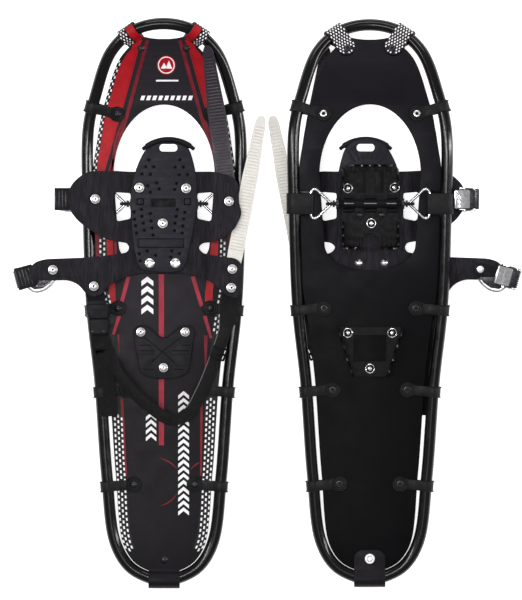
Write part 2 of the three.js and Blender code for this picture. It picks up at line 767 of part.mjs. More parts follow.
// ---- the pair on the ground ----
const left = shoe("left");
left.position.z = -SNOW_Z;

// The right shoe is turned over about its long axis, then tipped until its toe and tail both touch.
const toeHeight = rise(240) + TUBE_R * Math.cos(slope(240));
const tailHeight = TUBE_R + CLEAR + 0.9 + DECK_T;
const overturned = new THREE.Group();
const right = shoe("right");
right.rotation.y = Math.PI;
overturned.add(right);
overturned.rotation.x = Math.atan2(toeHeight - tailHeight, 240 + 507);
overturned.position.x = SHOE_GAP;

const pair = new THREE.Group();
pair.add(left, overturned);
pair.updateMatrixWorld(true);
overturned.position.z = -new THREE.Box3().setFromObject(overturned, true).min.z;

// The origin is on the ground under the middle of the pair.
pair.updateMatrixWorld(true);
const extent = new THREE.Box3().setFromObject(pair, true);
pair.position.set(-(extent.min.x + extent.max.x) / 2, -(extent.min.y + extent.max.y) / 2, -extent.min.z);

export default pair;
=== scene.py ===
from bisect import bisect_left
import json
import math

import bmesh
import bpy
from mathutils import Matrix, Vector


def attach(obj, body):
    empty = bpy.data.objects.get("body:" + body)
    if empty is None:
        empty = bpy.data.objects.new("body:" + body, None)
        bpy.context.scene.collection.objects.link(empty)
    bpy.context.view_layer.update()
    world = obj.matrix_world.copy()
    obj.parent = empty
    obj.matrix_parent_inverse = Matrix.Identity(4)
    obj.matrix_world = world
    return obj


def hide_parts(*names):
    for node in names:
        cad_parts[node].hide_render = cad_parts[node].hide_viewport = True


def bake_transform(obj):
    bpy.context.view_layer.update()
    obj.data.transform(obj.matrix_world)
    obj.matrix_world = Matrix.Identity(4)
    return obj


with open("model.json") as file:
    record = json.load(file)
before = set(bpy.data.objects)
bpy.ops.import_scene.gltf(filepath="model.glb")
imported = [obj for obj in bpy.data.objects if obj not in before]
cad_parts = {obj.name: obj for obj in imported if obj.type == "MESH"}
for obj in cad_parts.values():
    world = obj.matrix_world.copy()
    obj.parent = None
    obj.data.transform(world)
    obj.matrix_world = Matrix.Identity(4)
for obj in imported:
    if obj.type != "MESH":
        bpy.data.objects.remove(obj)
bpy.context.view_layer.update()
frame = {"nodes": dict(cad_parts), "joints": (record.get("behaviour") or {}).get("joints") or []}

MM = 0.001
SIDES = ("left", "right")
JOINTS = {j["name"]: j for j in frame["joints"]}


# ---------------------------------------------------------------- where each shoe stands
def shoe_matrix(side):
    """The shoe's own axes: x to the wearer's right, y to the toe, z up, origin above the axle."""
    pivot = JOINTS[f"{side}_binding_pivot"]
    x = -Vector(pivot["axis"]).normalized()
    z = Vector(JOINTS[f"{side}_toe_strap_rivet"]["axis"]).normalized()
    y = z.cross(x)
    m = Matrix((x, y, z)).transposed().to_4x4()
    m.translation = Vector(pivot["pos_m"]) + 6 * MM * z
    return m


PLACE = {side: shoe_matrix(side) for side in SIDES}

# ---------------------------------------------------------------- mesh tools, in millimetres


def as_mesh(name, bm):
    me = bpy.data.meshes.new(name)
    bm.to_mesh(me)
    bm.free()
    me.transform(Matrix.Scale(MM, 4))
    return me


def to_mesh(name, bm, smooth):
    bmesh.ops.remove_doubles(bm, verts=bm.verts, dist=2e-3)
    bmesh.ops.recalc_face_normals(bm, faces=bm.faces)
    for f in bm.faces:
        f.smooth = True
    for e in bm.edges:
        if len(e.link_faces) == 2 and e.calc_face_angle(0) > math.radians(smooth):
            e.smooth = False
    return as_mesh(name, bm)


def keep_place(me):
    """Stores each point's place on the shoe, in metres, which the materials read."""
    co = [0.0] * (3 * len(me.vertices))
    me.vertices.foreach_get("co", co)
    me.attributes.new("shoe", "FLOAT_VECTOR", "POINT").data.foreach_set("vector", co)


def V(*a):
    return Vector(a if len(a) == 3 else (*a, 0.0))


def arc(r, a0, a1, n, cx=0.0, cy=0.0, ry=None):
    """n + 1 points round part of a circle or an ellipse, from a0 to a1 degrees."""
    ry = r if ry is None else ry
    angles = (math.radians(a0 + (a1 - a0) * i / n) for i in range(n + 1))
    return [(cx + r * math.cos(a), cy + ry * math.sin(a)) for a in angles]


def circle(r, n=16, cx=0.0, cy=0.0):
    return arc(r, 0, 360, n, cx, cy)[:-1]


def bar(w, t, r=None):
    """A rounded rectangle w by t, as (across, up) points."""
    r = min(t, w) * 0.38 if r is None else min(r, t / 2.01, w / 2.01)
    x, y = w / 2 - r, t / 2 - r
    d = r * 0.7071
    return [(x + r, -y), (x + r, y), (x + d, y + d), (x, y + r), (-x, y + r), (-x - d, y + d),
            (-x - r, y), (-x - r, -y), (-x - d, -y - d), (-x, -y - r), (x, -y - r), (x + d, -y - d)]


def sweep(bm, path, section, side=(0, 0, 1), closed=False):
    """section: (across, up) points, or a function of the point's index; side: a vector or such a function."""
    n = len(path)
    rings = []
    for i, p in enumerate(path):
        a = path[(i - 1) % n] if closed or i else p
        b = path[(i + 1) % n] if closed or i < n - 1 else p
        t = (b - a).normalized()
        s = Vector(side(i) if callable(side) else side)
        s = (s - t * s.dot(t)).normalized()
        up = s.cross(t)
        pts = section(i) if callable(section) else section
        rings.append([bm.verts.new(p + s * u + up * v) for u, v in pts])
    m = len(rings[0])
    for i in range(n if closed else n - 1):
        r0, r1 = rings[i], rings[(i + 1) % n]
        for k in range(m):
            bm.faces.new((r0[k], r0[(k + 1) % m], r1[(k + 1) % m], r1[k]))
    if not closed:
        bm.faces.new(rings[0][::-1])
        bm.faces.new(rings[-1])
    return bm


def rod(bm, a, b, r, n):
    return sweep(bm, [a, (a + b) / 2, b], circle(r, n))


def mixed(a, b, ta, tb, t):
    return a * ((tb - t) / (tb - ta)) + b * ((t - ta) / (tb - ta))


def crom(points, n, closed=False):
    """n + 1 evenly spaced points on a centripetal Catmull-Rom curve."""
    pts = [V(*p) for p in points]
    if closed:
        ext = [pts[-1], *pts, pts[0], pts[1]]
    else:
        ext = [2 * pts[0] - pts[1], *pts, 2 * pts[-1] - pts[-2]]
    dense = []
    for i in range(len(ext) - 3):
        p = ext[i:i + 4]
        t = [0.0]
        for a, b in zip(p, p[1:]):
            t.append(t[-1] + max((b - a).length, 1e-6) ** 0.5)
        for k in range(24):
            at = t[1] + (t[2] - t[1]) * k / 24
            a = [mixed(p[j], p[j + 1], t[j], t[j + 1], at) for j in range(3)]
            b = [mixed(a[j], a[j + 1], t[j], t[j + 2], at) for j in range(2)]
            dense.append(mixed(*b, t[1], t[2], at))
    dense.append(ext[-2])
    return spaced(dense, n)


def lengths(line):
    """How far along a polyline each of its points is."""
    run = [0.0]
    for a, b in zip(line, line[1:]):
        run.append(run[-1] + (b - a).length)
    return run


def along_line(line, run, s):
    k = max(0, min(len(run) - 2, bisect_left(run, s) - 1))
    span = run[k + 1] - run[k]
    return line[k].lerp(line[k + 1], (s - run[k]) / span if span > 1e-9 else 0)


def spaced(dense, n):
    """n + 1 evenly spaced points along a polyline."""
    run = lengths(dense)
    return [along_line(dense, run, run[-1] * i / n) for i in range(n + 1)]


def flat(outline, z0, thick, bevel=0.5, holes=(), seg=2):
    """A plate cut from sheet, with rounded edges, as a bmesh."""
    cu = bpy.data.curves.new("flat", "CURVE")
    cu.dimensions = "2D"
    cu.fill_mode = "BOTH"
    cu.extrude = thick / 2 - bevel
    cu.bevel_depth = bevel
    cu.bevel_resolution = seg
    cu.offset = -bevel
    for loop in (outline, *holes):
        sp = cu.splines.new("POLY")
        sp.points.add(len(loop) - 1)
        for q, p in zip(sp.points, loop):
            q.co = (p[0], p[1], 0, 1)
        sp.use_cyclic_u = True
    ob = bpy.data.objects.new("flat", cu)
    me = bpy.data.meshes.new_from_object(ob)
    bpy.data.objects.remove(ob)
    bpy.data.curves.remove(cu)
    bm = bmesh.new()
    bm.from_mesh(me)
    bpy.data.meshes.remove(me)
    bmesh.ops.remove_doubles(bm, verts=bm.verts, dist=2e-3)
    bmesh.ops.translate(bm, verts=bm.verts, vec=(0, 0, z0 + thick / 2))
    return bm


def cut(bm, axis, values):
    normal = Vector((1, 0, 0) if axis == "x" else (0, 1, 0))
    for v in values:
        geom = bm.verts[:] + bm.edges[:] + bm.faces[:]
        bmesh.ops.bisect_plane(bm, geom=geom, plane_co=normal * v, plane_no=normal, dist=1e-3)
    return bm


def lift(bm, f):
    for v in bm.verts:
        v.co.z += f(v.co.x, v.co.y)
    return bm


def lathe(bm, profile, at=(0, 0, 0), up=(0, 0, 1), n=24):
    """profile is (radius, height) points from the axis outwards and down."""
    q = Vector((0, 0, 1)).rotation_difference(Vector(up)).to_matrix()
    rings = []
    for r, z in profile:
        spots = [(0, 0)] if r < 1e-6 else circle(r, n)
        rings.append([bm.verts.new(Vector(at) + q @ Vector((x, y, z))) for x, y in spots])
    for r0, r1 in zip(rings, rings[1:]):
        for k in range(n):
            j = (k + 1) % n
            # a ring of one point closes its quads to triangles
            quad = (r0[k % len(r0)], r1[k % len(r1)], r1[j % len(r1)], r0[j % len(r0)])
            bm.faces.new(list(dict.fromkeys(quad)))
    return bm


def box(bm, x0, x1, y0, y1, z0, z1, r=0.4):
    """Adds a block with its edges rounded."""
    block = bmesh.new()
    for v in bmesh.ops.create_cube(block, size=1)["verts"]:
        v.co = ((x0 + x1) / 2 + v.co.x * (x1 - x0), (y0 + y1) / 2 + v.co.y * (y1 - y0),
                (z0 + z1) / 2 + v.co.z * (z1 - z0))
    bmesh.ops.bevel(block, geom=block.edges[:], offset=r, segments=2, affect="EDGES", profile=0.6)
    return joined(bm, block)


def prism(bm, profile, y0, y1, r=0.3):
    """A shape drawn in x and z and run from y0 to y1, with rounded edges."""
    a = [bm.verts.new((x, y0, z)) for x, z in profile]
    b = [bm.verts.new((x, y1, z)) for x, z in profile]
    n = len(profile)
    faces = [bm.faces.new(a), bm.faces.new(b[::-1])]
    faces += [bm.faces.new((a[i], b[i], b[(i + 1) % n], a[(i + 1) % n])) for i in range(n)]
    edges = list({e for f in faces for e in f.edges if e.calc_length() > 2.2 * r})
    bmesh.ops.bevel(bm, geom=edges, offset=r, segments=2, affect="EDGES", profile=0.6)
    return bm


def moved(bm, angle=0.0, at=(0, 0, 0)):
    bmesh.ops.transform(bm, matrix=Matrix.Translation(at) @ Matrix.Rotation(angle, 4, "Z"), verts=bm.verts)
    return bm


def mirrored(bm):
    bmesh.ops.transform(bm, matrix=Matrix.Scale(-1, 4, (1, 0, 0)), verts=bm.verts)
    bmesh.ops.reverse_faces(bm, faces=bm.faces)
    return bm


def joined(*bms):
    out = bms[0]
    for other in bms[1:]:
        me = bpy.data.meshes.new("tmp")
        other.to_mesh(me)
        other.free()
        out.from_mesh(me)
        bpy.data.meshes.remove(me)
    return out


# ---------------------------------------------------------------- materials
def srgb(*rgb):
    """0 to 255 as seen, to linear."""
    f = [c / 255 for c in rgb]
    return tuple(c / 12.92 if c <= 0.04045 else ((c + 0.055) / 1.055) ** 2.4 for c in f)


class Mat:
    """A small builder for a Principled material that reads each point's place on the shoe."""

    def __init__(self, name, color, rough, metal=0.0, **sockets):
        self.m = bpy.data.materials.new(name)
        self.m.use_nodes = True
        self.nt = self.m.node_tree
        self.b = self.nt.nodes["Principled BSDF"]
        self.b.inputs["Base Color"].default_value = (*color, 1)
        self.b.inputs["Roughness"].default_value = rough
        self.b.inputs["Metallic"].default_value = metal
        for k, v in sockets.items():
            self.b.inputs[k.replace("_", " ")].default_value = v
        self.co = self.n("Attribute", attribute_name="shoe").outputs["Vector"]
        self.color, self.rough = color, rough

    def n(self, kind, **values):
        node = self.nt.nodes.new("ShaderNode" + kind)
        for k, v in values.items():
            if hasattr(node, k):
                setattr(node, k, v)
            else:
                self.put(node.inputs[k.replace("_", " ")], v)
        return node

    def put(self, socket, v):
        if isinstance(v, bpy.types.NodeSocket):
            self.nt.links.new(v, socket)
        else:
            socket.default_value = v

    def noise(self, scale, detail=3.0, rough=0.55, stretch=None):
        co = self.co
        if stretch:
            co = self.n("Mapping", Vector=co, Scale=stretch).outputs[0]
        return self.n("TexNoise", Scale=scale, Detail=detail, Roughness=rough, Vector=co).outputs["Fac"]

    def math(self, op, *values):
        node = self.n("Math", operation=op)
        for socket, v in zip(node.inputs, values):
            self.put(socket, v)
        return node.outputs[0]

    def span(self, v, a, b, lo=0.0, hi=1.0):
        """v from a..b to lo..hi, eased at both ends."""
        return self.n("MapRange", interpolation_type="SMOOTHSTEP", Value=v, From_Min=a, From_Max=b, To_Min=lo,
                      To_Max=hi).outputs["Result"]

    def paint(self, fac, a, b):
        """Base colour from a to b."""
        node = self.n("Mix", data_type="RGBA")
        for k, v in ((0, fac), (6, (*a, 1)), (7, (*b, 1))):
            self.put(node.inputs[k], v)
        self.put(self.b.inputs["Base Color"], node.outputs[2])

    def axis(self, k):
        """One coordinate on the shoe, in millimetres."""
        sep = self.n("SeparateXYZ", Vector=self.co)
        return self.math("MULTIPLY", sep.outputs["XYZ".index(k)], 1000.0)

    def vary(self, amount, scale, rough_by):
        """Uneven colour and gloss, as handled surfaces have."""
        lo, hi = (tuple(min(1, c * (1 + s * amount)) for c in self.color) for s in (-1, 1))
        self.paint(self.span(self.noise(scale, 3.0, 0.6), 0.3, 0.7), lo, hi)
        lo, hi = max(0.02, self.rough - rough_by), min(1, self.rough + rough_by)
        gloss = self.span(self.noise(scale * 1.7, 3.0, 0.6), 0.25, 0.75, lo, hi)
        self.put(self.b.inputs["Roughness"], gloss)

    def bump(self, height, strength, distance):
        last = self.b.inputs["Normal"].links
        node = self.n("Bump", Strength=strength, Distance=distance, Height=height)
        if last:
            self.put(node.inputs["Normal"], last[0].from_socket)
        self.put(self.b.inputs["Normal"], node.outputs[0])

    def ripple(self, k, pitch):
        """Ridges across one axis, pitch in millimetres, 0 to 1."""
        s = self.math("SINE", self.math("MULTIPLY", self.axis(k), 2 * math.pi / pitch))
        return self.math("MULTIPLY_ADD", s, 0.5, 0.5)

    def weave(self, across=1.6, down=0.8):
        return self.math("MULTIPLY", self.ripple("X", across), self.ripple("Y", down))


def plain(name, color, rough, specular, vary, bump=None, metal=0.0):
    """vary is (colour, noise scale, roughness); bump is (noise scale, detail, strength, distance)."""
    m = Mat(name, color, rough, metal, Specular_IOR_Level=specular)
    m.vary(*vary)
    if bump:
        scale, detail, strength, distance = bump
        m.bump(m.noise(scale, detail), strength, distance)
    return m


PLAIN = {
    "tube": ("gloss_black_coat", srgb(7, 6, 8), 0.16, 0.3, (0.35, 40, 0.05), (700, 2, 0.12, 0.0002)),
    "urethane": ("urethane", srgb(20, 19, 21), 0.5, 0.16, (0.3, 90, 0.12), (1400, 3, 0.35, 0.0003)),
    "deck_top": ("deck_top", srgb(31, 27, 33), 0.45, 0.12, (0.12, 25, 0.08)),
    "deck_under": ("deck_under", srgb(15, 13, 16), 0.42, 0.07, (0.18, 18, 0.1), (1100, 3, 0.3, 0.0003)),
    "harness": ("harness_rubber", srgb(31, 28, 34), 0.6, 0.13, (0.1, 45, 0.1)),
    "moulded": ("moulded_plastic", srgb(23, 21, 30), 0.46, 0.16, (0.14, 55, 0.08), (1300, 3, 0.28, 0.0003)),
    "heel_plate": ("heel_plate_plastic", srgb(22, 20, 23), 0.5, 0.14, (0.2, 55, 0.08),
                   (1300, 3, 0.28, 0.0003)),
    # black for painted shade in sockets, dimples, grooves and seams, and round screw heads and nuts
    "recess": ("painted_shade_black", srgb(8, 7, 9), 0.7, 0.08, (0.3, 200, 0.1), (900, 3, 0.2, 0.0002)),
    # light grey for the strap's woven edge, and for painted highlights on the clasp's prongs and corners
    "selvage": ("selvage", srgb(96, 92, 96), 0.8, 0.1, (0.3, 900, 0.1), (1800, 2, 0.3, 0.0002)),
    "clasp": ("clasp_plastic", srgb(15, 13, 17), 0.48, 0.12, (0.2, 80, 0.08), (1600, 2, 0.15, 0.0002)),
    "nickel": ("nickel", (0.86, 0.85, 0.85), 0.3, 0.5, (0.08, 300, 0.08), (900, 3, 0.08, 0.0002), 1.0),
    "wire": ("bright_wire", (0.66, 0.66, 0.68), 0.2, 0.5, (0.1, 240, 0.08), None, 1.0),
    "rod": ("steel_rod", (0.3, 0.3, 0.32), 0.3, 0.5, (0.25, 240, 0.08), (500, 3, 0.1, 0.0002), 1.0),
    "dark_rivet": ("blackened_rivet", (0.035, 0.034, 0.038), 0.3, 0.5, (0.4, 260, 0.1),
                   (900, 3, 0.12, 0.0002), 0.75),
    "smoky": ("smoky_plastic", srgb(45, 38, 47), 0.34, 0.3, (0.14, 60, 0.08)),
    "milky": ("milky_plastic", srgb(214, 211, 205), 0.4, 0.35, (0.03, 60, 0.08)),
}
# name, colour and how unevenly it has faded
INKS = {
    "red": ("ink_red", srgb(160, 6, 20), 0.12),
    "dark_red": ("ink_dark_red", srgb(112, 16, 30), 0.25),
    "rose": ("ink_rose", srgb(148, 34, 52), 0.15),
    "white": ("ink_white", srgb(236, 234, 236), 0.04),
    "ink_black": ("ink_black", srgb(14, 13, 15), 0.1),
}


def make_materials():
    M = {key: plain(*recipe) for key, recipe in PLAIN.items()}
    for key, (name, color, fade) in INKS.items():
        M[key] = plain(name, color, 0.45, 0.2, (fade, 70, 0.08))
        M[key].bump(M[key].weave(), 0.2, 0.0002)
    for key in ("black_steel", "black_steel_left", "black_steel_right"):
        M[key] = black_steel(key)
    m = M["tube"]
    m.bump(m.span(m.noise(220, 6, 0.7, (1, 0.08, 1)), 0.62, 0.74), 0.15, 0.0002)
    m = M["deck_top"]
    m.paint(m.span(m.axis("Y"), -330, -120), srgb(20, 17, 22), srgb(32, 28, 34))
    m.bump(m.math("MAXIMUM", m.weave(), m.weave(0.8, 1.6)), 0.25, 0.0002)
    m.bump(m.noise(30, 4), 0.18, 0.002)
    m = M["deck_under"]
    # the underside is lighter towards the toe: a painted sheen
    m.paint(m.span(m.axis("Y"), -200, 60), srgb(6, 5, 7), srgb(20, 18, 23))
    m.bump(m.noise(24, 4), 0.2, 0.002)
    m = M["harness"]
    bark = m.span(m.noise(330, 4, 0.62, (1, 0.13, 1)), 0.32, 0.68)
    m.paint(bark, srgb(21, 19, 23), srgb(38, 35, 41))
    m.bump(bark, 0.8, 0.0012)
    m.bump(m.noise(900, 3), 0.2, 0.0003)
    m = M["wire"]
    m.bump(m.noise(500, 3, 0.6), 0.06, 0.0002)
    M["webbing"] = twill()
    return M


def twill():
    """Woven webbing with its ribs on the slant."""
    m = Mat("webbing", srgb(16, 15, 17), 0.75, Sheen_Weight=0.06, Sheen_Roughness=0.4, Specular_IOR_Level=0.2)
    m.vary(0.25, 120, 0.1)
    slants = (m.math(op, m.axis("X"), m.axis("Y")) for op in ("ADD", "SUBTRACT"))
    waves = [m.math("SINE", m.math("MULTIPLY", slant, 2 * math.pi / 2.2)) for slant in slants]
    m.bump(m.math("MULTIPLY", *waves), 0.6, 0.0005)
    return m


def black_steel(key):
    """Black coat worn through to bright steel towards the points."""
    m = Mat(key, (0.008, 0.008, 0.009), 0.4, Specular_IOR_Level=0.09)
    if key != "black_steel":
        # a CAD mesh has no stored places, so its own are turned into the shoe's
        place = PLACE[key.split("_")[-1]].inverted()
        own = m.n("TexCoord").outputs["Object"]
        mapping = m.n("Mapping", Vector=own, Location=place.to_translation(), Rotation=place.to_euler())
        m.co = mapping.outputs[0]
    depth = m.math("MULTIPLY", m.axis("Z"), -1.0)
    patch = m.math("ADD", depth, m.span(m.noise(260, 5, 0.65), 0.3, 0.7, -5.0, 5.0))
    flecks = m.span(m.noise(420, 5, 0.7), 0.76, 0.82, 0.0, 0.3)
    bare = m.math("MAXIMUM", m.span(patch, 31.0, 35.5), flecks)
    m.paint(bare, (0.006, 0.006, 0.007), (0.3, 0.3, 0.31))
    m.put(m.b.inputs["Metallic"], m.span(bare, 0, 1))
    m.put(m.b.inputs["Roughness"], m.span(m.noise(180, 4), 0.3, 0.7, 0.34, 0.55))
    m.bump(m.noise(600, 4), 0.18, 0.0003)
    return m


MATS = make_materials()


# ---------------------------------------------------------------- putting pieces on both shoes
def put(name, me, side):
    me = me.copy()
    me.transform(PLACE[side])
    ob = bpy.data.objects.new(name, me)
    bpy.context.scene.collection.objects.link(ob)
    return ob


def piece(name, bm, mats, body, stands_for=(), smooth=32, blend=None):
    """Makes the piece once for each shoe, riding on that shoe's body, or, given blend, baked in place on no
    body.
    """
    mats = [mats] if isinstance(mats, str) else mats
    me = to_mesh(name, bm, smooth)
    keep_place(me)
    for k in mats:
        me.materials.append(MATS[k].m)
    for side in SIDES:
        ob = put(f"{side}_{name}" + ("_detail" if name in stands_for else ""), me, side)
        if blend:
            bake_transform(ob)
        else:
            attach(ob, f"{side}_{body}")
        if stands_for:
            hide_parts(*[f"{side}_{n}" for n in stands_for])


def pair(name, bm, mat, in_cad=True, smooth=32):
    """A piece of the frame's right side, and its mirror on the left."""
    for side, shape in (("left", mirrored(bm.copy())), ("right", bm)):
        piece(f"{name}_{side}", shape, mat, "frame", [f"{name}_{side}"] if in_cad else (), smooth)


def dress(node):
    """A CAD node kept as it is, with its edges eased and its material given."""
    for side in SIDES:
        ob = frame["nodes"][f"{side}_{node}"]
        ob.data.materials.clear()
        ob.data.materials.append(MATS[f"black_steel_{side}"].m)
        ob.modifiers.new("weld", "WELD").merge_threshold = 2e-5
        ease = ob.modifiers.new("ease", "BEVEL")
        ease.width = 0.3 * MM
        ease.segments = 2
        ease.limit_method = "ANGLE"
        ease.angle_limit = math.radians(35)


# ---------------------------------------------------------------- the frame tube's line
RISE_FROM, RISE_R = 60.0, 382.0


def rise(y):
    return RISE_R - math.sqrt(RISE_R ** 2 - (y - RISE_FROM) ** 2) if y > RISE_FROM else 0.0


def slope(y):
    return math.asin((y - RISE_FROM) / RISE_R) if y > RISE_FROM else 0.0


HALF = [(22, -502.5), (47, -488), (66, -455), (77, -366), (86, -242), (97, -140), (101.5, -20), (102, 100),
        (92, 145), (70, 204), (38, 232)]
LOOP_POINTS = [(0.3, -507), *HALF, (0, 240), *[(-x, y) for x, y in reversed(HALF)], (-0.3, -507)]
LOOP = crom([V(x, y, rise(y)) for x, y in LOOP_POINTS], 900)


def tube_at(test):
    i = min(range(1, 450), key=lambda k: test(LOOP[k]))
    p = LOOP[i]
    along = (LOOP[i + 1] - LOOP[i - 1]).normalized()
    up = V(0, -math.sin(slope(p.y)), math.cos(slope(p.y)))
    inward = up.cross(along).normalized()
    return p, along, up, inward


def frame_tube():
    tube = sweep(bmesh.new(), spaced(LOOP, 260), circle(8, 28))
    piece("frame_tube", tube, "tube", "frame", ["frame_tube"], smooth=50)


# ---------------------------------------------------------------- bands round the tube
def on_tube(at, u, z, across=0.0):
    """The place u in from the tube's middle and z above it, where z follows the deck's curve."""
    p, along, up, inward = at
    return p + inward * u + up * (z + deck_bow(p, inward, u)) + up.cross(inward) * across


def end_marks(r, n):
    """Distances that close in on a rounded end of radius r."""
    return [r * (1 - math.cos(math.pi / 2 * k / n)) for k in range(n + 1)]


def strap_round(at, line, stops, half, thick):
    """A band along a line of (inward, up) points; half gives its half width at a distance along it."""
    run = lengths(line)
    mid = [on_tube(at, q.x, q.z) for q in (along_line(line, run, s) for s in stops)]
    return sweep(bmesh.new(), mid, lambda i: bar(2 * half(stops[i]), thick, 0.5), side=at[2].cross(at[3]))


def rounded_end(d, r, w):
    """Half width at a distance d from a strap's rounded end of radius r, w being the half width behind it."""
    if d < r:
        return math.sqrt(max(0.02, r * r - (r - d) ** 2))
    return max(w, r - (d - r) * 0.35) if w < r else w


def clip_band(at, end, pad, half_w):
    """A clip from its upper pad round the tube to its lower pad."""
    leg, turn, thick = 2.1, 18.0, 1.6
    path = [(end, leg), (end - 6, leg), (turn, leg), *arc(8.5 + thick / 2, 52, 308, 14), (turn, -leg),
            (end - 6, -leg), (end, -leg)]
    line = crom([V(u, 0, z) for u, z in path], 90)
    run = lengths(line)
    total = run[-1]
    marks = end_marks(pad, 6)
    middle = [x for x in run if marks[-1] < x < total - marks[-1]]
    stops = marks + middle + [total - m for m in reversed(marks)]
    return strap_round(at, line, stops, lambda s: max(0.35, rounded_end(min(s, total - s), pad, half_w)),
                       thick)


def deck_bow(p, inward, u):
    """How far the curved deck stands above the plane that touches it at the tube."""
    if u < 14:
        return 0.0
    y = p.y + inward.y * u
    plane = rise(p.y) + math.tan(slope(p.y)) * (y - p.y)
    return rise(y) - plane


CLIPS = {"front": 130, "mid": -143, "waist": -254, "rear": -381}
CLIP_REACH = 35


def clips():
    pad = 10.6
    for name, station in CLIPS.items():
        at = tube_at(lambda p: abs(p.y - station))
        p, along, up, inward = at
        bm = clip_band(at, CLIP_REACH + pad, pad, 6.8)
        rivet_at = on_tube(at, CLIP_REACH, 0)
        for s in (1, -1):
            # a boss under the rivet and a raised rim round the pad
            lathe(bm, [(5.6, 2.6), (5.9, 3.3), (6.9, 3.5), (7.5, 3.2), (7.8, 2.6)], rivet_at, up * s, 32)
            lathe(bm, [(8.4, 2.6), (8.8, 3.4), (9.7, 3.6), (10.2, 3.2), (10.5, 2.4)], rivet_at, up * s, 36)
            # a small lip where the strap's edge stands off the tube
            lip = [p + inward * u + up * z + along * (s * 6.6) for u, z in
                   ((4, 9.9), (-4, 9.6), (-8.6, 6), (-10.4, 0), (-8.6, -6), (-4, -9.6), (4, -9.9))]
            sweep(bm, crom(lip, 30), circle(0.75, 7))
        pair(f"{name}_clip", bm, "urethane")
        pair(f"{name}_clip_rivet", dome(bmesh.new(), rivet_at + up * 2.8, up, 4.6), "dark_rivet", False)
        pair(f"{name}_clip_eyelet", eyelet(bmesh.new(), rivet_at - up * 2.8, -up, 4.6),
             "nickel" if name == "front" else "dark_rivet", False)


def dome(bm, at, up, r):
    """A rivet's domed head on a thin washer."""
    return lathe(bm, [(0, 0.62 * r), (0.3 * r, 0.58 * r), (0.6 * r, 0.46 * r), (0.85 * r, 0.26 * r),
                      (r, 0.06 * r), (1.22 * r, -0.08 * r), (1.3 * r, -0.24 * r)], at, up, 28)


def eyelet(bm, at, up, r):
    """A tubular rivet's rolled head with its hollow middle."""
    return lathe(bm, [(0, -0.6), (0.42 * r, -0.5), (0.5 * r, 0.3), (0.62 * r, 0.75), (0.82 * r, 0.8),
                      (0.96 * r, 0.45), (r, 0)], at, up, 24)


def screw(bm, at, up, r=7.0):
    """A flanged button head with a hexagonal socket."""
    lathe(bm, [(r, 0), (r, 0.5), (r * 0.96, 0.8), (r * 0.8, 1.0), (r * 0.74, 1.15), (r * 0.66, 1.9),
               (r * 0.5, 2.3), (r * 0.3, 2.4)][::-1], at, up, 30)
    lathe(bm, [(0, 0.9), (r * 0.27, 1.0), (r * 0.28, 2.38), (r * 0.3, 2.4)], at, up, 6)


def screws(name, spots, r, body, up=1, shadow_reach=1.16):
    """Button heads with their sockets, with painted shade in each socket and on a ring of each head, and a
    ring of painted shadow round each head.
    """
    heads, dark = bmesh.new(), bmesh.new()
    for x, y, z in spots:
        screw(heads, V(x, y, z), (0, 0, up), r)
        # painted shade in the socket, a ring of painted shadow round the head, and painted shade on a ring of
        # the head
        lathe(dark, [(0, 1.25), (r * 0.24, 1.25)], V(x, y, z), (0, 0, up), 6)
        lathe(dark, [(r * 0.7, 0.32), (r * 1.02, 0.34), (r * shadow_reach, 0.22), (r * shadow_reach, -0.4)], V(x, y, z),
              (0, 0, up), 32)
        lathe(dark, [(r * 0.6, 1.98), (r * 0.68, 1.86), (r * 0.72, 1.5)], V(x, y, z), (0, 0, up), 32)
    piece(name, heads, "nickel", body)
    piece(f"{name}_seats", dark, "recess", body)


def nuts(name, spots, body, up=-1):
    """Round washers, each with a bright domed nut and a dark ring of painted shade round the nut."""
    bright, dark = bmesh.new(), bmesh.new()
    for x, y, z in spots:
        at = V(x, y, z)
        lathe(bright, [(5.2, 0.1), (5.3, 0.7), (5.9, 1.0), (6.4, 0.7), (6.5, 0)], at, (0, 0, up), 32)
        lathe(bright, [(0, 2.2), (1.2, 2.1), (2.6, 1.5), (3.2, 0.4)], at, (0, 0, up), 24)
        lathe(dark, [(2.8, 0.5), (5.3, 0.5)], at, (0, 0, up), 32)
    piece(name, bright, "nickel", body)
    piece(f"{name}_rings", dark, "recess", body)


# ---------------------------------------------------------------- deck
OPEN = {"half": 68, "top": 133, "shoulder": 38, "waist": 61, "bottom_from": -55, "bottom": -90}
DECK_EDGE = 223
# between the deck's edge and the tube's middle line, by y
EDGE_GAPS = [(-507, 8.5), (-465, 9), (-430, 11), (-380, 12), (-180, 12.4), (-140, 10.6), (-118, 7.8),
             (50, 7.8), (80, 12.5), (105, 14.5), (250, 14.5)]


def window():
    o = OPEN
    top = arc(o["half"], 0, 180, 36, 0, o["shoulder"], o["top"] - o["shoulder"])
    return top + arc(o["waist"], 180, 360, 28, 0, o["bottom_from"], o["bottom_from"] - o["bottom"])


def along_table(table, y):
    for (y0, g0), (y1, g1) in zip(table, table[1:]):
        if y <= y1:
            return g0 + (g1 - g0) * (y - y0) / (y1 - y0)
    return table[-1][1]


def deck_side():
    """The deck's right edge from the tail to the toe."""
    out = []
    for i in range(4, 449, 4):
        p = LOOP[i]
        t = LOOP[i + 1] - LOOP[i - 1]
        f = math.hypot(t.x, t.y)
        gap = along_table(EDGE_GAPS, p.y)
        x, y = p.x - gap * t.y / f, p.y + gap * t.x / f
        if x > 2 and (y < 150 or x > 46):
            out.append((x, y))
    below = [q for q in out if q[1] <= -17]
    above = [q for q in out if q[1] >= 17]
    return [*below, (below[-1][0], -17), (76, -17), (76, 17), (above[0][0], 17), *above]


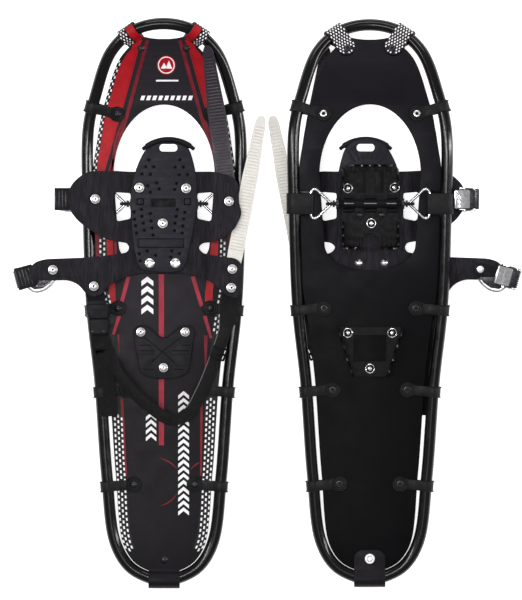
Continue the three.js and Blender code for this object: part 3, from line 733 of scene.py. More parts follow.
def deck():
    toe_edge = [(35, DECK_EDGE - 3.5), (27, DECK_EDGE), (17, DECK_EDGE - 2), (7, DECK_EDGE - 3)]
    right = deck_side() + toe_edge
    bm = flat(right + [(-x, y) for x, y in reversed(right)], -1, 2, 0.45, [window()[::-1]])
    cut(bm, "y", [RISE_FROM + 9 * k for k in range(19)])
    lift(bm, lambda x, y: rise(y))
    for f in bm.faces:
        f.normal_update()
        f.material_index = 0 if f.normal.z > 0.3 else 1
    piece("deck", bm, ["deck_top", "deck_under"], "frame", ["deck"])
    tail = (V(0, -507, 0), V(1, 0, 0), V(0, 0, 1), V(0, 1, 0))
    toe = tube_at(lambda p: abs(p.x - 46) if p.y > 0 else 1e3)
    toe_tab = deck_wrap(toe, TAB_HALF, 36)
    tabs = joined(toe_tab.copy(), mirrored(toe_tab), deck_wrap(tail, 21, 40))
    piece("deck_tabs", tabs, "deck_top", "frame")
    inks = zip(("checks", "red", "ground"), wrap_print(toe), ("white", "red", "ink_black"))
    for key, ink, mat in inks:
        piece(f"toe_tab_{key}", joined(ink.copy(), mirrored(ink)), mat, "frame")
    p, along, up, inward = toe
    rivets = bmesh.new()
    at = on_tube(toe, 27, 0)
    for sx in (1, -1):
        spot = V(at.x * sx, at.y, at.z)
        dome(rivets, spot + up * 1.1, up, 4.4)
        eyelet(rivets, spot - up * 3.4, -up, 4.6)
    piece("toe_tab_rivets", rivets, "dark_rivet", "frame")
    piece("tail_tab_dome", dome(bmesh.new(), V(0, -479, 1.1), (0, 0, 1), 4.8), "dark_rivet", "frame")
    hexagon = lathe(bmesh.new(), [(0, 5.6), (3.4, 5.6), (4.1, 5.1), (4.1, 3.2)], V(0, -479, 0), (0, 0, -1), 6)
    lathe(hexagon, [(4.0, 4.1), (6.4, 4.1), (6.9, 3.6), (6.9, 3.0)], V(0, -479, 0), (0, 0, -1), 28)
    piece("tail_tab_rivet", hexagon, "nickel", "frame")


TAB_HALF, TAB_END = 12.5, 12.0


def wrap_line(reach):
    points = [(15.5, 0.25), (12.5, 1.4), (8.6, 5.6), *arc(9.7, 66, 292, 16), (8.5, -6.0), (13, -3.2),
              (18, -2.5), (reach - 8, -2.4), (reach, -2.4)]
    return crom([V(u, 0, z) for u, z in points], 90)


def tab_half(d, half_w):
    """A tab's half width at a distance d from its rounded end."""
    if d > TAB_END:
        return half_w
    return math.sqrt(max(0.02, TAB_END ** 2 - (TAB_END - d) ** 2)) + half_w - TAB_END


def wrap_print(at):
    """Ink on a toe tab: red inside and checks outside above the tube, checks all over below it."""
    p, along, up, inward = at
    line = wrap_line(36)
    total = lengths(line)[-1]
    step = total / (len(line) - 1)

    def on(s, u, h):
        k = max(0, min(len(line) - 2, int(s / step)))
        q = line[k].lerp(line[k + 1], s / step - k)
        t = (line[k + 1] - line[k]).normalized()
        out = q + V(t.z, 0, -t.x) * h
        return on_tube(at, out.x, out.z, u)

    def cell(bm, s0, s1, u0, u1, h):
        n = max(1, math.ceil((s1 - s0) / 1.5))
        for i in range(n):
            a, b = s0 + (s1 - s0) * i / n, s0 + (s1 - s0) * (i + 1) / n
            bm.faces.new([bm.verts.new(on(s, u, h)) for s, u in ((a, u0), (a, u1), (b, u1), (b, u0))])

    white, red, black = bmesh.new(), bmesh.new(), bmesh.new()
    over = 30.0
    cell(red, 1, over, -TAB_HALF + 0.6, -0.5, 1.02)
    cell(black, 1, over, -0.5, TAB_HALF - 0.6, 1.02)
    s, row = 1.5, 0
    while s < total - 3:
        room = min(tab_half(total - s, TAB_HALF), tab_half(total - s - 2.4, TAB_HALF)) - 0.5
        for col in range(-3, 4):
            u = col * 4.2 + (2.1 if row % 2 else 0)
            off = abs(u) + 1.0 > room or (s < over and u < 1.4)
            if not off and math.hypot(u, s - (total - TAB_END + 2.6)) >= 5.4:
                cell(white, s, s + 2.4, u - 0.85, u + 0.85, 1.1)
        s += 3.9
        row += 1
    return white, red, black


def deck_wrap(at, half_w, reach):
    """The deck's own sheet carried on over the tube and back underneath, where its end is rounded."""
    line = wrap_line(reach)
    run = lengths(line)
    total = run[-1]
    ends = [total - m for m in reversed(end_marks(TAB_END, 7))]
    stops = [x for x in run if x < ends[0] - 0.3] + ends
    return strap_round(at, line, stops, lambda s: max(0.4, tab_half(total - s, half_w)), 1.9)


# ---------------------------------------------------------------- printing on the deck
def strip(p, q, w0, w1=None):
    """A straight stripe between two points, as a quad."""
    a, b = V(*p), V(*q)
    s = V(-(b - a).y, (b - a).x).normalized()
    w1 = w0 if w1 is None else w1
    return [a + s * w0 / 2, a - s * w0 / 2, b - s * w1 / 2, b + s * w1 / 2]


def decal(name, shapes, mat, z=0.14):
    """Flat shapes printed on the deck's upper side."""
    bm = bmesh.new()
    for pts in shapes:
        bm.faces.new([bm.verts.new((p[0], p[1], 1 + z)) for p in pts])
    up_faces(bm)
    cut(bm, "y", [RISE_FROM + 7 * k for k in range(24)])
    lift(bm, lambda x, y: rise(y))
    me = as_mesh(name, bm)
    keep_place(me)
    me.materials.append(MATS[mat].m)
    for side in SIDES:
        ob = put(f"{side}_{name}", me, side)
        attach(ob, f"{side}_frame")


def flipped(shapes):
    return [[(-p[0], p[1]) for p in s] for s in shapes]


def both(shapes):
    return shapes + flipped(shapes)


def edge_x(y, inset):
    """The deck's right edge at y, moved in."""
    for (x0, y0), (x1, y1) in zip(EDGE, EDGE[1:]):
        if y0 <= y <= y1:
            return x0 + (x1 - x0) * (y - y0) / max(1e-6, y1 - y0) - inset
    return (EDGE[0] if y < EDGE[0][1] else EDGE[-1])[0] - inset


EDGE = [(x, y) for x, y in deck_side() if x != 76]


def ring(cx, cy, half, r, t):
    """A rounded square's outline, t thick, as quads."""
    outer, inner = (slot_loop(cx - h, cx + h, cy - h, cy + h, corner, 5)
                    for h, corner in ((half, r), (half - t, r - t)))
    n = len(outer)
    return [[outer[i], outer[(i + 1) % n], inner[(i + 1) % n], inner[i]] for i in range(n)]


def arc_line(points, w):
    line = crom([V(*q) for q in points], 14)
    out = []
    for i in range(14):
        wi = w * math.sin(math.pi * (i + 0.5) / 14) + 0.3
        out.append(strip(tuple(line[i][:2]), tuple(line[i + 1][:2]), wi))
    return out


def window_x(y):
    """Half the opening's width at y."""
    o = OPEN
    if y > o["shoulder"]:
        k = (y - o["shoulder"]) / (o["top"] - o["shoulder"])
        return o["half"] * math.sqrt(1 - k * k) if k < 1 else 0
    if y > o["bottom_from"]:
        wider = (o["half"] - o["waist"]) * (y - o["bottom_from"]) / (o["shoulder"] - o["bottom_from"])
        return o["waist"] + wider
    k = (o["bottom_from"] - y) / (o["bottom_from"] - o["bottom"])
    return o["waist"] * math.sqrt(1 - k * k) if k < 1 else 0


def line_x(line, y):
    """Where a line of (x, y) points is at a height, or None."""
    for (xa, ya), (xb, yb) in zip(line, line[1:]):
        if min(ya, yb) <= y <= max(ya, yb):
            return xa + (xb - xa) * (y - ya) / (yb - ya)
    return None


def inked(y0, y1, span):
    """Short quads of ink from y0 to y1; span gives the ink's left and right edge at a height."""
    n = max(1, math.ceil(abs(y1 - y0) / 3.0))
    ys = [y0 + (y1 - y0) * i / n for i in range(n + 1)]
    out = []
    for a, b in zip(ys, ys[1:]):
        (l0, r0), (l1, r1) = span(a), span(b)
        if r0 - l0 > 0.2 and r1 - l1 > 0.2:
            out.append([(l0, a), (r0, a), (r1, b), (l1, b)])
    return out


def lane(y0, y1, line, width):
    """A band of ink along a line, kept on the deck and clear of the opening."""
    def span(y):
        x = line_x(line, y)
        if x is None:
            x = min(line[0], line[-1], key=lambda q: abs(y - q[1]))[0]
        return max(x - width / 2, window_x(y) + 0.5), min(x + width / 2, edge_x(y, 0.5))

    return inked(y0, y1, span)


def between(y0, y1, inner, inset):
    """Ink from a line out to a constant distance from the deck's edge."""
    def span(y):
        x = line_x(inner, y)
        return (0, 0) if x is None else (max(x, window_x(y) + 0.5), edge_x(y, inset))

    return inked(y0, y1, span)


def printing():
    """Bands, edge checks and plain marks; the marks are generic and stand where the maker's lettering was."""
    bright = both(between(219, 44, [(24, 231), (34.5, 203), (53.9, 132.6), (79.7, 44)], 5.5))
    bright += flipped(lane(-22, -134, [(74.5, -20), (72.5, -66), (69, -135)], 8.5))
    bright += lane(-22, -134, [(68.5, -20), (67.5, -66), (60.5, -118), (60, -135)], 10)
    decal("print_red", bright, "red")
    thin = lane(218, 44, [(21, 221), (50, 118), (73, 44)], 4.8) + lane(212, 60, [(34.5, 212), (75, 60)], 1.4)
    thin += lane(118, 44, [(52, 118), (60, 100), (66.5, 80), (70, 44)], 3.0)
    lines = flipped(lane(-30, -80, [(66.6, -30), (64.5, -80)], 3.4))
    lines += both(between(-20, -104, [(86.5, -20), (86.5, -60), (89.5, -104)], 0.3))
    lines += [[(-60.5, -176), (-63, -176), (-60, -206)], [(58.5, -177), (53.5, -177), (55, -222), (57, -222)]]
    lines += [strip((-57, -262), (-51, -366), 3.6, 2.4), strip((50.6, -262), (49.5, -366), 3.4, 2.4)]
    decal("print_dark_red", both(thin) + lines, "dark_red")
    rose = [strip((-3.6, -95), (-3.6, -325), 7),
            strip((-48, -98), (-58.5, -138), 5.2), strip((-60.3, -151), (-68.5, -176), 5.0, 3.4),
            strip((38.5, -98), (50.8, -138), 5.2), strip((54.8, -151), (63.2, -181), 5.0, 3.4)]
    decal("print_rose", rose, "rose")
    decal("print_edge_black", both(edge_band()), "ink_black", 0.1)
    decal("print_checks", edge_checks(), "white", 0.18)
    decal("print_badge", [circle(12.6, 40, *BADGE)], "red")
    decal("print_marks", badge_marks() + slanted_bars() + chevrons(), "white", 0.2)
    curves = ([(-6, -342), (3, -345.5), (11, -350.5), (17.5, -357)],
              [(17.5, -390), (11, -398), (3, -403.5), (-6, -407)],
              [(34.5, -358.5), (39, -354), (44, -350), (49.5, -347.5)])
    decal("print_arcs", [quad for points in curves for quad in arc_line(points, 1.4)], "dark_red")


def edge_checks():
    """Two or three columns of white checks that follow each edge, by the photo's gaps."""
    checks = []
    for k in range(3):
        w, h, pitch = 2.3, 3.8, 7.5
        y = 190.0 - (pitch / 2 if k % 2 else 0)
        while y > -468:
            if y > 20:
                inset, shown, w, h = 0.6 + 2.4 * k, k < 2, 1.8, 3.1
            else:
                inset, shown = max(-0.6, min(4.6, (y + 440) * 0.019)) + 4.6 * k, True
                if y > -112:
                    inset, shown = inset + 1.2, k > 0 and y < -46
            if shown and not -19 < y < 24:
                lo, hi = y - h / 2, y + h / 2
                a, b = (edge_x(end, 0) - max(inset, 0.4) for end in (lo, hi))
                checks.append([(a, lo), (b, hi), (b - w, hi), (a - w, lo)])
            w, h, pitch = 2.3, 3.8, 8.6 if y > 20 else 7.5
            y -= pitch

    def mid(q, lo, hi):
        return lo < sum(p[1] for p in q) / 4 < hi

    right = [q for q in checks if not mid(q, -262, -174)]
    left = flipped([q for q in checks if not mid(q, -284, -150) and not mid(q, -118, -40)])
    for k, x in enumerate((-79.4, -84.6)):
        for i in range(9):
            y = -46 - 7.5 * i - 3.7 * k
            left.append([(x, y - 1.9), (x - 2.3, y - 1.9), (x - 2.3, y + 1.9), (x, y + 1.9)])
    return left + right


BADGE = (3.4, 185.5)


def badge_marks():
    """The badge's ring and its two plain peaks, and a bar under it."""
    cx, cy = BADGE
    peaks = [[(cx - 7.5, cy - 4.5), (cx - 3, cy + 3), (cx + 1.5, cy - 4.5)],
             [(cx - 1, cy - 4.5), (cx + 3.5, cy + 6), (cx + 8, cy - 4.5)]]
    return ring(cx, cy, 11.3, 11.2, 1.3) + peaks + [strip((cx - 14, 165), (cx + 16, 165), 2.2)]


def slanted_bars():
    return [[(x, 139), (x + 5, 139), (x + 7, 145), (x + 2, 145)] for x in range(-32, 33, 8)]


def chevrons():
    """Rows that point to the toe, in place of the figures and the long word."""
    out = []
    for x0, x1, y, last, t, step in ((-30.5, -14.5, -98, -160, 7, 12.6), (-24.5, -10.5, -281, -324, 5, 9.2),
                                     (19, 33.5, -252, -424, 5, 9.2)):
        xm = (x0 + x1) / 2
        while y - t - 5 > last:
            out.append([(x0, y - 6), (xm, y), (xm, y - t), (x0, y - 6 - t)])
            out.append([(xm, y), (x1, y - 6), (x1, y - 6 - t), (xm, y - t)])
            y -= step
    return out


def edge_band():
    """The black ground that the edge checks stand on."""
    out = []
    ys = [200 - 8 * i for i in range(84)]
    for y0, y1 in zip(ys, ys[1:]):
        if y1 < -470 or -19 < y0 < 26 or -19 < y1 < 26:
            continue
        w = 5.4 if y0 > 20 else 16 if y0 > -300 else 13.5
        a, b = edge_x(y0, 0.5), edge_x(y1, 0.5)
        out.append([(a, y0), (a - w, y0), (b - w, y1), (b, y1)])
    return out


# ---------------------------------------------------------------- pivot
def belt_points(r1, r2, dx, dz):
    """A belt round two rollers, the second one dx and dz from the first."""
    lean = math.degrees(math.atan2(dz, dx))
    touch = math.degrees(math.acos((r1 - r2) / math.hypot(dx, dz)))
    return arc(r1, lean + touch, lean + 360 - touch, 22) + arc(r2, lean - touch, lean + touch, 12, dx, dz)


def pivot():
    p = tube_at(lambda q: abs(q.y))[0]
    base, half, apex = 79.5, 20, 52
    pts = belt_points(8.7 + 0.8, 2.3 + 0.8, p.x - base, -6)
    path = spaced([V(p.x - u, 0, z) for u, z in [*pts, pts[0]]], 70)[:-1]
    pair("pivot_strap", sweep(bmesh.new(), path, bar(28, 1.6, 0.6), side=(0, 1, 0), closed=True), "urethane")
    side = [(base, 0.4), (base, half - 5), (base - 2.5, half - 1), (base - 7, half - 1),
            (base - 16, half - 9), (apex + 3, 3)]
    pts = [*side, (apex, 0), *[(x, -y) for x, y in reversed(side)]]
    link = sweep(bmesh.new(), crom([V(x, y, -6) for x, y in pts], 90), circle(2, 14))
    pair("wire_link", link, "wire", smooth=60)


def crampon_fittings():
    """The toe crampon's pressed ribs and comb, the hinge's rolls and rivets, and the axle's collars."""
    ribs = bmesh.new()
    for x in (-12.5, 11.5):
        for w, z in ((5.2, -0.8), (3.4, -1.3)):
            box(ribs, x - w, x + w, 20 - w, 40 + w, z, 0.4, 0.7)
    for k in range(11):
        x = -27 + 5.3 * k
        box(ribs, x - 0.8, x + 0.8, 43.5 - abs(k - 5) * 0.5, 51, -1.8, 0.3, 0.5)
    for x0, x1 in ((-36, -23), (-8, 8), (22, 36)):
        for y, r in ((8.5, 2.4), (-9, 3.0)):
            rod(ribs, V(x0, y, -1.6), V(x1, y, -1.6), r, 16)
    for y0, y1, z in ((-59, -52, -2.5), (-50, -44, -1.6)):
        for s in (-1, 1):
            for k in range(4):
                x = s * (15 + 6.2 * k)
                box(ribs, x - 1.0, x + 1.0, y0 + 0.8 * k, y1, z, 0.3, 0.5)
    piece("toe_crampon_ribs", ribs, "black_steel", "binding")
    dark = bmesh.new()
    for s in (-1, 1):
        dome(dark, V(s * 15, -15, -2.3), (0, 0, -1), 4.2)
        for x, r, t in ((42.5, 7.2, 3.4), (47.5, 4.6, 3.0)):
            lathe(dark, [(3.1, 0), (r, 0), (r, t), (3.1, t)], V(s * x, 0, -6), (s, 0, 0), 24)
        lathe(dark, [(0, 1.2), (2.6, 1.0), (3.4, 0)], V(s * 52, 0, -6), (s, 0, 0), 20)
    piece("hinge_rivets_and_collars", dark, "dark_rivet", "binding")
    # thin bright rods along the hinge barrels are a painted glint
    glint = bmesh.new()
    for x0, x1 in ((-35, -22), (-8.5, 8.5), (22, 35)):
        rod(glint, V(x0, 0.6, -11.0), V(x1, 0.6, -11.0), 0.9, 10)
    piece("hinge_barrel_glint", glint, "wire", "binding")


# ---------------------------------------------------------------- heel plate
def heel_plate():
    outline = [(-42, -170), (-36, -163.5), (-24, -163.5), (-4, -180), (4, -180), (24, -163.5), (36, -163.5),
               (42, -170), (39, -186), (33, -226), (24, -232.5), (10, -235.5), (-10, -235.5), (-24, -232.5),
               (-33, -226), (-40, -186)]
    corners = smooth_corners(outline, 4)
    bm = flat(corners, 1.3, 3, 0.9, seg=3)
    rim = [V(x * 0.985, (y + 200) * 0.985 - 200, 4.3) for x, y in corners]
    sweep(bm, spaced(rim + [rim[0]], 120)[:-1], circle(0.8, 8), closed=True)
    pads = [[(-36, -187), (-34, -203), (-13, -203), (-13, -196), (-24, -187)],
            [(36, -187), (24, -187), (11, -196), (11, -203), (33, -203)],
            [(-32, -207), (-30, -218), (-19, -218), (-12, -207)],
            [(31, -207), (10, -207), (17, -218), (29, -218)]]
    for pad in pads:
        bm = joined(bm, flat(smooth_corners(pad, 1.2), 4.1, 0.7, 0.3))
    piece("heel_plate", bm, "heel_plate", "frame", ["heel_plate"])
    # dark strips along the grooves on the pads and the plate are painted shade
    dark = bmesh.new()
    on_pads = [((-33, -190.3), (-17, -190.3)), ((22, -190.3), (35, -190.3)), ((-33, -197.7), (-13, -197.7)),
               ((11, -197.7), (34, -197.7))]
    on_plate = [((-28, -223), (-12, -223)), ((14, -223), (28, -223)), ((-26, -180), (-3, -199)),
                ((-3, -199), (23, -180)), ((-17, -214), (-1.6, -199)), ((-1.6, -199), (14, -214))]
    for z, lines in ((4.86, on_pads), (4.36, on_plate)):
        for a, b in lines:
            dark.faces.new([dark.verts.new((q[0], q[1], z)) for q in strip(a, b, 1.1)])
    piece("heel_plate_groove_shade", up_faces(dark), "recess", "frame")
    screws("heel_plate_screws", [(-31.3, -172.6, 4.3), (28.5, -172.6, 4.3), (-0.7, -220.6, 4.3)], 6.2,
           "frame")
    nuts("heel_plate_nuts", [(-30, -174, -3.9), (30, -174, -3.9), (0, -222, -3.9)], "frame")


def up_faces(bm):
    for f in bm.faces:
        f.normal_update()
        if f.normal.z < 0:
            f.normal_flip()
    return bm


# ---------------------------------------------------------------- binding
PLATE_Z, PLATE_T = 6.1, 4.0
PLATE_TOP = PLATE_Z + PLATE_T


def foot_outline(shrink=0.0):
    pts = [(-20, -91), (20, -91), (28, -84), (34, -62), (40.5, -30), (44, -5), (44.3, 16), (43, 38), (39, 58),
           (33, 74), (20, 84), (6, 87), (-9, 84), (-22, 76), (-32, 60), (-39, 41), (-44, 20), (-44.4, -6),
           (-42.5, -43), (-37, -76), (-31, -88)]
    line = crom(pts, 150, closed=True)[:-1]
    return [(p.x * (1 - shrink / 44), p.y * (1 - shrink / 88)) for p in line]


def slot_loop(x0, x1, y0, y1, r=4.5, n=6):
    corners = ((x1 - r, y1 - r), (x0 + r, y1 - r), (x0 + r, y0 + r), (x1 - r, y0 + r))
    return [p for k, (cx, cy) in enumerate(corners) for p in arc(r, 90 * k, 90 * k + 90, n, cx, cy)]


DIMPLES = [(-20.2, 58.8), (-24.3, 49.5), (-13.6, 49.5), (-29.5, 39.8), (-18.3, 39.3), (21.5, 58.8),
           (15.3, 48.9), (26.1, 48.9), (20.5, 38.7), (31.5, 38.7), (-9.6, 27.7), (17.1, 27.1), (-6.5, 19.6),
           (14.7, 19), (-21.5, 24), (-18.3, 15.3), (-30.2, -7.8), (-40.1, -11.3), (-29.5, -17.1),
           (-39.3, -21.2), (-18.3, -13.7), (-17.3, -23.3), (-27.7, -26.4), (-38, -29.9), (-15.9, -32.9),
           (-26.4, -35.8), (-36.8, -39.5), (-14.6, -42.4), (18.1, -8), (28.3, -11.8), (16.5, -17.1),
           (26.7, -20.8), (15, -26.4), (25.5, -30.2), (14.2, -36.4), (24.6, -39.5), (-22.3, -63.8),
           (-32.9, -67.5), (-11.1, -69.4), (-31.8, -76.9), (10.5, -63.8), (21.1, -67.2), (9.1, -71.9)]


def foot_plate():
    slot = slot_loop(-6, 18, 70, 80)[::-1]
    win = slot_loop(-17, 16, -4.5, 6.5, 0.8, 2)[::-1]
    # dark discs and floors in the dimples, the groove and the small recesses are painted shade
    dark = bmesh.new()
    floors = [circle(2.5, 14, x, y) for x, y in DIMPLES]
    for x0, x1, y0, y1 in ((-35.5, 27.5, -60, -46.5), (-37, -26.5, -2.5, 7.5), (26.5, 37, -2.5, 7.5)):
        floors.append(((x0, y0), (x1, y0), (x1, y1), (x0, y1)))
    for loop in floors:
        dark.faces.new([dark.verts.new((x, y, PLATE_Z + 2.86)) for x, y in loop])
    piece("foot_plate_recess_shade", up_faces(dark), "recess", "binding")
    sinks = [circle(2.1, 14, x, y) for x, y in DIMPLES]
    sinks += [slot_loop(-35, 27, -59.5, -47, 1.0, 2), slot_loop(-36.5, -27, -2, 7, 1.2, 2),
              slot_loop(27, 36.5, -2, 7, 1.2, 2)]
    bm = joined(flat(foot_outline(), PLATE_Z, 2.8, 0.6, [slot, win]),
                flat(foot_outline(0.5), PLATE_Z + 2.6, 1.4, 0.35,
                     [slot, win, *[loop[::-1] for loop in sinks]]))
    # raised bars in the groove and in the small recesses
    for x0, x1, y0, y1 in ((-34.2, 26.2, -58.7, -47.8), (-35.4, -28.1, -0.6, 5.9), (28.1, 35.4, -0.6, 5.9)):
        box(bm, x0, x1, y0, y1, PLATE_Z + 2.4, PLATE_TOP - 0.15, 0.3)
    # ribs under the toe of the plate
    for k in range(7):
        rib = box(bmesh.new(), -1.0, 1.0, 27, 34 if k in (2, 3, 4) else 47, PLATE_Z - 2.0, PLATE_Z + 0.6, 0.5)
        joined(bm, moved(rib, math.radians(12 * k - 36), (4, 34, 0)))
    piece("foot_plate", bm, "moulded", "binding", ["foot_plate"])
    # the bumper round the toe
    path = [V(x, y, PLATE_TOP + 0.6) for x, y in arc(52, 48, 132, 40, 6, 34)]
    rim = sweep(bmesh.new(), path, lambda i: bar(7.5 if 3 < i < 37 else 5.0, 6.5, 2.6),
                side=lambda i: (path[i] - V(6, 34, 0)).normalized())
    piece("foot_plate_bumper", rim, "clasp", "binding", smooth=50)
    screwed = ((-33, 21.5), (30, 20.5), (-1.6, -26.5))
    screws("foot_plate_screws", [(x, y, PLATE_TOP - 0.1) for x, y in screwed], 6.6, "binding")
    nuts("foot_plate_nuts", [(x, y, -0.1) for x, y in screwed], "binding")
    rivets = bmesh.new()
    for x in (-19.3, 15.3):
        lathe(rivets, [(0, 1.6), (2.6, 1.7), (3.2, 1.3), (4.6, 1.9), (6.2, 1.2), (6.8, 0.2), (6.8, 0)],
              V(x, -80, PLATE_TOP), (0, 0, 1), 30)
        dome(rivets, V(x, -80, 2.7), (0, 0, -1), 4.4)
    piece("foot_plate_rivets", rivets, "nickel", "binding")


HARNESS = [(-44, 43), (-72, 44), (-100, 43.5), (-114, 36), (-125, 24.5), (-130.5, 9), (-127, -8), (-117, -22),
           (-102, -34), (-80, -47), (-64, -51), (-50, -53), (-46.5, -59), (-50, -65.5), (-64, -68.5),
           (-104, -72.5), (-160, -74.5), (-174, -79), (-182, -90), (-179, -103.5), (-150, -103.5),
           (-128, -103), (-114, -109), (-105, -121), (-94, -126), (-82, -121), (-74, -110), (-50, -97.5),
           (-32, -94), (0, -94), (30, -94), (52, -100), (68, -108), (78, -119), (89, -127), (101, -126),
           (106, -116), (106, -98), (106, -83), (97, -73.5), (70, -70.5), (52, -66.5), (46, -59), (52, -53),
           (66, -52), (81, -46), (95, -35), (105, -14), (101, 0), (100, 28), (91, 37), (68, 43), (44, 43),
           (0, 43)]
HZ, HT, WZ = 2.8, 3.0, 14.8


def harness_lift(x, y):
    t = min(1, max(0, (abs(x) - 46) / 20))
    return (WZ - HZ) * t * t * (3 - 2 * t)


def smooth_corners(pts, r=3.5):
    """Rounds each corner of a closed outline by cutting it and adding a short curve."""
    out = []
    n = len(pts)
    for i, p in enumerate(pts):
        a, b, c = V(*pts[i - 1]), V(*p), V(*pts[(i + 1) % n])
        u, w = (a - b), (c - b)
        d = min(r, u.length * 0.45, w.length * 0.45)
        p0, p2 = b + u.normalized() * d, b + w.normalized() * d
        for t in (0, 0.25, 0.5, 0.75, 1):
            out.append(p0 * (1 - t) ** 2 + b * 2 * t * (1 - t) + p2 * t * t)
    return [(q.x, q.y) for q in out]


def harness():
    def win(s):
        pts = [(s * x, y) for x, y in ((45, -20), (62, -24), (68, -14), (68, 11), (64, 15), (45, 14))]
        return smooth_corners(pts if s < 0 else pts[::-1], 3)

    hole = slot_loop(-17, 16, -5, 6.5, 1, 2)[::-1]
    bm = flat(smooth_corners(HARNESS, 9), HZ, HT, 0.8, [win(1), win(-1), hole], seg=3)
    cut(bm, "x", [s * (44 + 2.2 * k) for s in (1, -1) for k in range(11)])
    cut(bm, "y", [-59.0])
    lift(bm, harness_lift)

    def part(keep):
        b = bm.copy()
        gone = [f for f in b.faces if not keep(f.calc_center_median())]
        bmesh.ops.delete(b, geom=gone, context="FACES")
        return b

    middle = part(lambda c: not (abs(c.x) > 44 and c.y > -59))
    piece("harness", middle, "harness", "binding", ["harness"], smooth=50)
    for s, n in ((1, "right"), (-1, "left")):
        piece(f"harness_toe_wing_{n}", part(lambda c: c.x * s > 44 and c.y > -59), "harness", None, smooth=50,
              blend=("binding", "frame", (s * 44, 0, 0), (s * 66, 0, 0)))
    for body, spots, under in (("binding", [(-149, -89), (-94, -111), (92, -88), (90.5, -113)], WZ - 2.2),
                               ("frame", [(-92, 6), (87.5, 3)], WZ - 2.4)):
        screws(f"harness_rivets_{body}", [(x, y, WZ + HT - 0.1) for x, y in spots], 6.4, body, shadow_reach=1.22)
        tails = bmesh.new()
        for x, y in spots:
            lathe(tails, [(0, 1.2), (3.4, 1.2), (4.6, 0.9), (5, 0)], V(x, y, under), (0, 0, -1), 24)
        piece(f"harness_rivet_tails_{body}", tails, "nickel", body)


# ---------------------------------------------------------------- straps
def ladder(rivet, z, width, heading, bend_from, mat, body, node, blend=None):
    length, tip, end, thick, bend = 210, 15, 10, 2.0, 440
    pitch = 4.3
    half = width / 2

    def half_w(v):
        if v <= 0:
            return math.sqrt(max(0.3, end ** 2 - v ** 2))
        if v < 24:
            return end + (half - end) * (v / 24)
        if v < length * 0.6:
            return half
        if v < length - 14:
            return half + (tip / 2 - half) * (v - length * 0.6) / (length * 0.4 - 14)
        return max(1.2, (tip / 2) * math.sqrt(max(0, 1 - ((v - length + 14) / 14.2) ** 2)))

    vs = [-end * math.cos(math.pi / 2 * k / 6) for k in range(6)] + [0.0]
    v = 6.0
    teeth_from, teeth_to = 26.0, length - 16.0
    while v < teeth_from:
        vs.append(v)
        v += 5
    v = teeth_from
    ridge = {}
    while v < teeth_to:
        for dv, h in ((0, 0.0), (0.9, 1.0), (1.7, 1.0), (2.6, 0.0)):
            vs.append(v + dv)
            ridge[round(v + dv, 3)] = h
        v += pitch
    vs += [teeth_to + 1, length - 12, length - 9, length - 6, length - 3.5, length - 1.5, length - 0.4]
    vs = sorted(set(vs))
    lift_of = lambda q: (q - bend_from) ** 2 / (2 * bend) if q > bend_from else 0.0
    path = [V(0, q, z + thick / 2 + lift_of(q)) for q in vs]

    def section(i):
        w = half_w(vs[i])
        h = ridge.get(round(vs[i], 3), 0.0)
        rail = min(2.2, w * 0.3)
        t = thick / 2
        lo = -t + 0.7
        if vs[i] < teeth_from - 1 or vs[i] > teeth_to:
            h, lo = 0.4, -t + 0.0
        top = t - 0.75 + 0.75 * h if vs[i] >= teeth_from - 1 and vs[i] <= teeth_to else t
        e, low = 0.3, -top * 0.75 - 0.25 * t
        upper = [(w, t - e), (w - e, t), (w - rail, t), (w - rail - 0.3, top), (0, top),
                 (-w + rail + 0.3, top), (-w + rail, t), (-w + e, t), (-w, t - e)]
        under = [(-w, -t + e), (-w + e, -t), (-w + rail, -t), (-w + rail + 0.3, low), (0, low),
                 (w - rail - 0.3, low), (w - rail, -t), (w - e, -t), (w, -t + e)]
        return upper + under

    bm = bmesh.new()
    sweep(bm, path, section, side=(1, 0, 0))
    moved(bm, heading, (*rivet, 0))
    piece(node, bm, mat, body, [node], smooth=24, blend=blend)


def straps():
    ladder((87.5, 3), 12.5, 24, 0.14, 40, "smoky", "toe_strap", "toe_ladder_strap")
    ladder((92, -88), 10.2, 21, -0.19, 135, "milky", None, "instep_ladder_strap",
           blend=("binding", "frame", (95, -78, 10), (108, 0, 10)))


# ---------------------------------------------------------------- ratchet buckles
BZ = 12.5
PIN = (-48.0, BZ - 8.7)


def buckle_base(end):
    """Base plate, side cheeks and pressed ribs; end is the plate's outer edge."""
    wide = 15.0
    outline = [(end, -wide), (-27, -wide), (-22, -9), (-14, -9), *arc(9, -80, 80, 12),
               (-14, 9), (-22, 9), (-27, wide), (end, wide)]
    base = flat(outline, BZ, 1.4, 0.35)
    lathe(base, [(0, 0.9), (2.4, 0.9), (3.4, 0.2)], V(0, 0, BZ), (0, 0, -1), 20)
    cheeks, ribs = bmesh.new(), bmesh.new()
    px, pz = PIN
    ear = [(end, BZ + 1.2), (end, pz + 3), (px - 5, pz - 3), (px - 2, pz - 5.4), (px + 2, pz - 5.4),
           (px + 6, pz - 2), (-36, BZ - 5), (-28, BZ - 3), (-26, BZ + 1.2)]
    for y in (-15.0, 13.4):
        prism(cheeks, ear, y, y + 1.6, 0.35)
    for s in (-1, 1):
        lathe(cheeks, [(0, 1.0), (1.8, 0.9), (2.6, 0.3), (2.6, 0)], V(px, s * 15.0, pz), (0, s, 0), 18)
    for k in range(5):
        x = end + 1 + 4.6 * k
        box(ribs, x, x + 1.2, -11.5 + k % 2, 11.5 - k % 2, BZ + 1.1, BZ + 1.9, 0.35)
    return base, cheeks, ribs


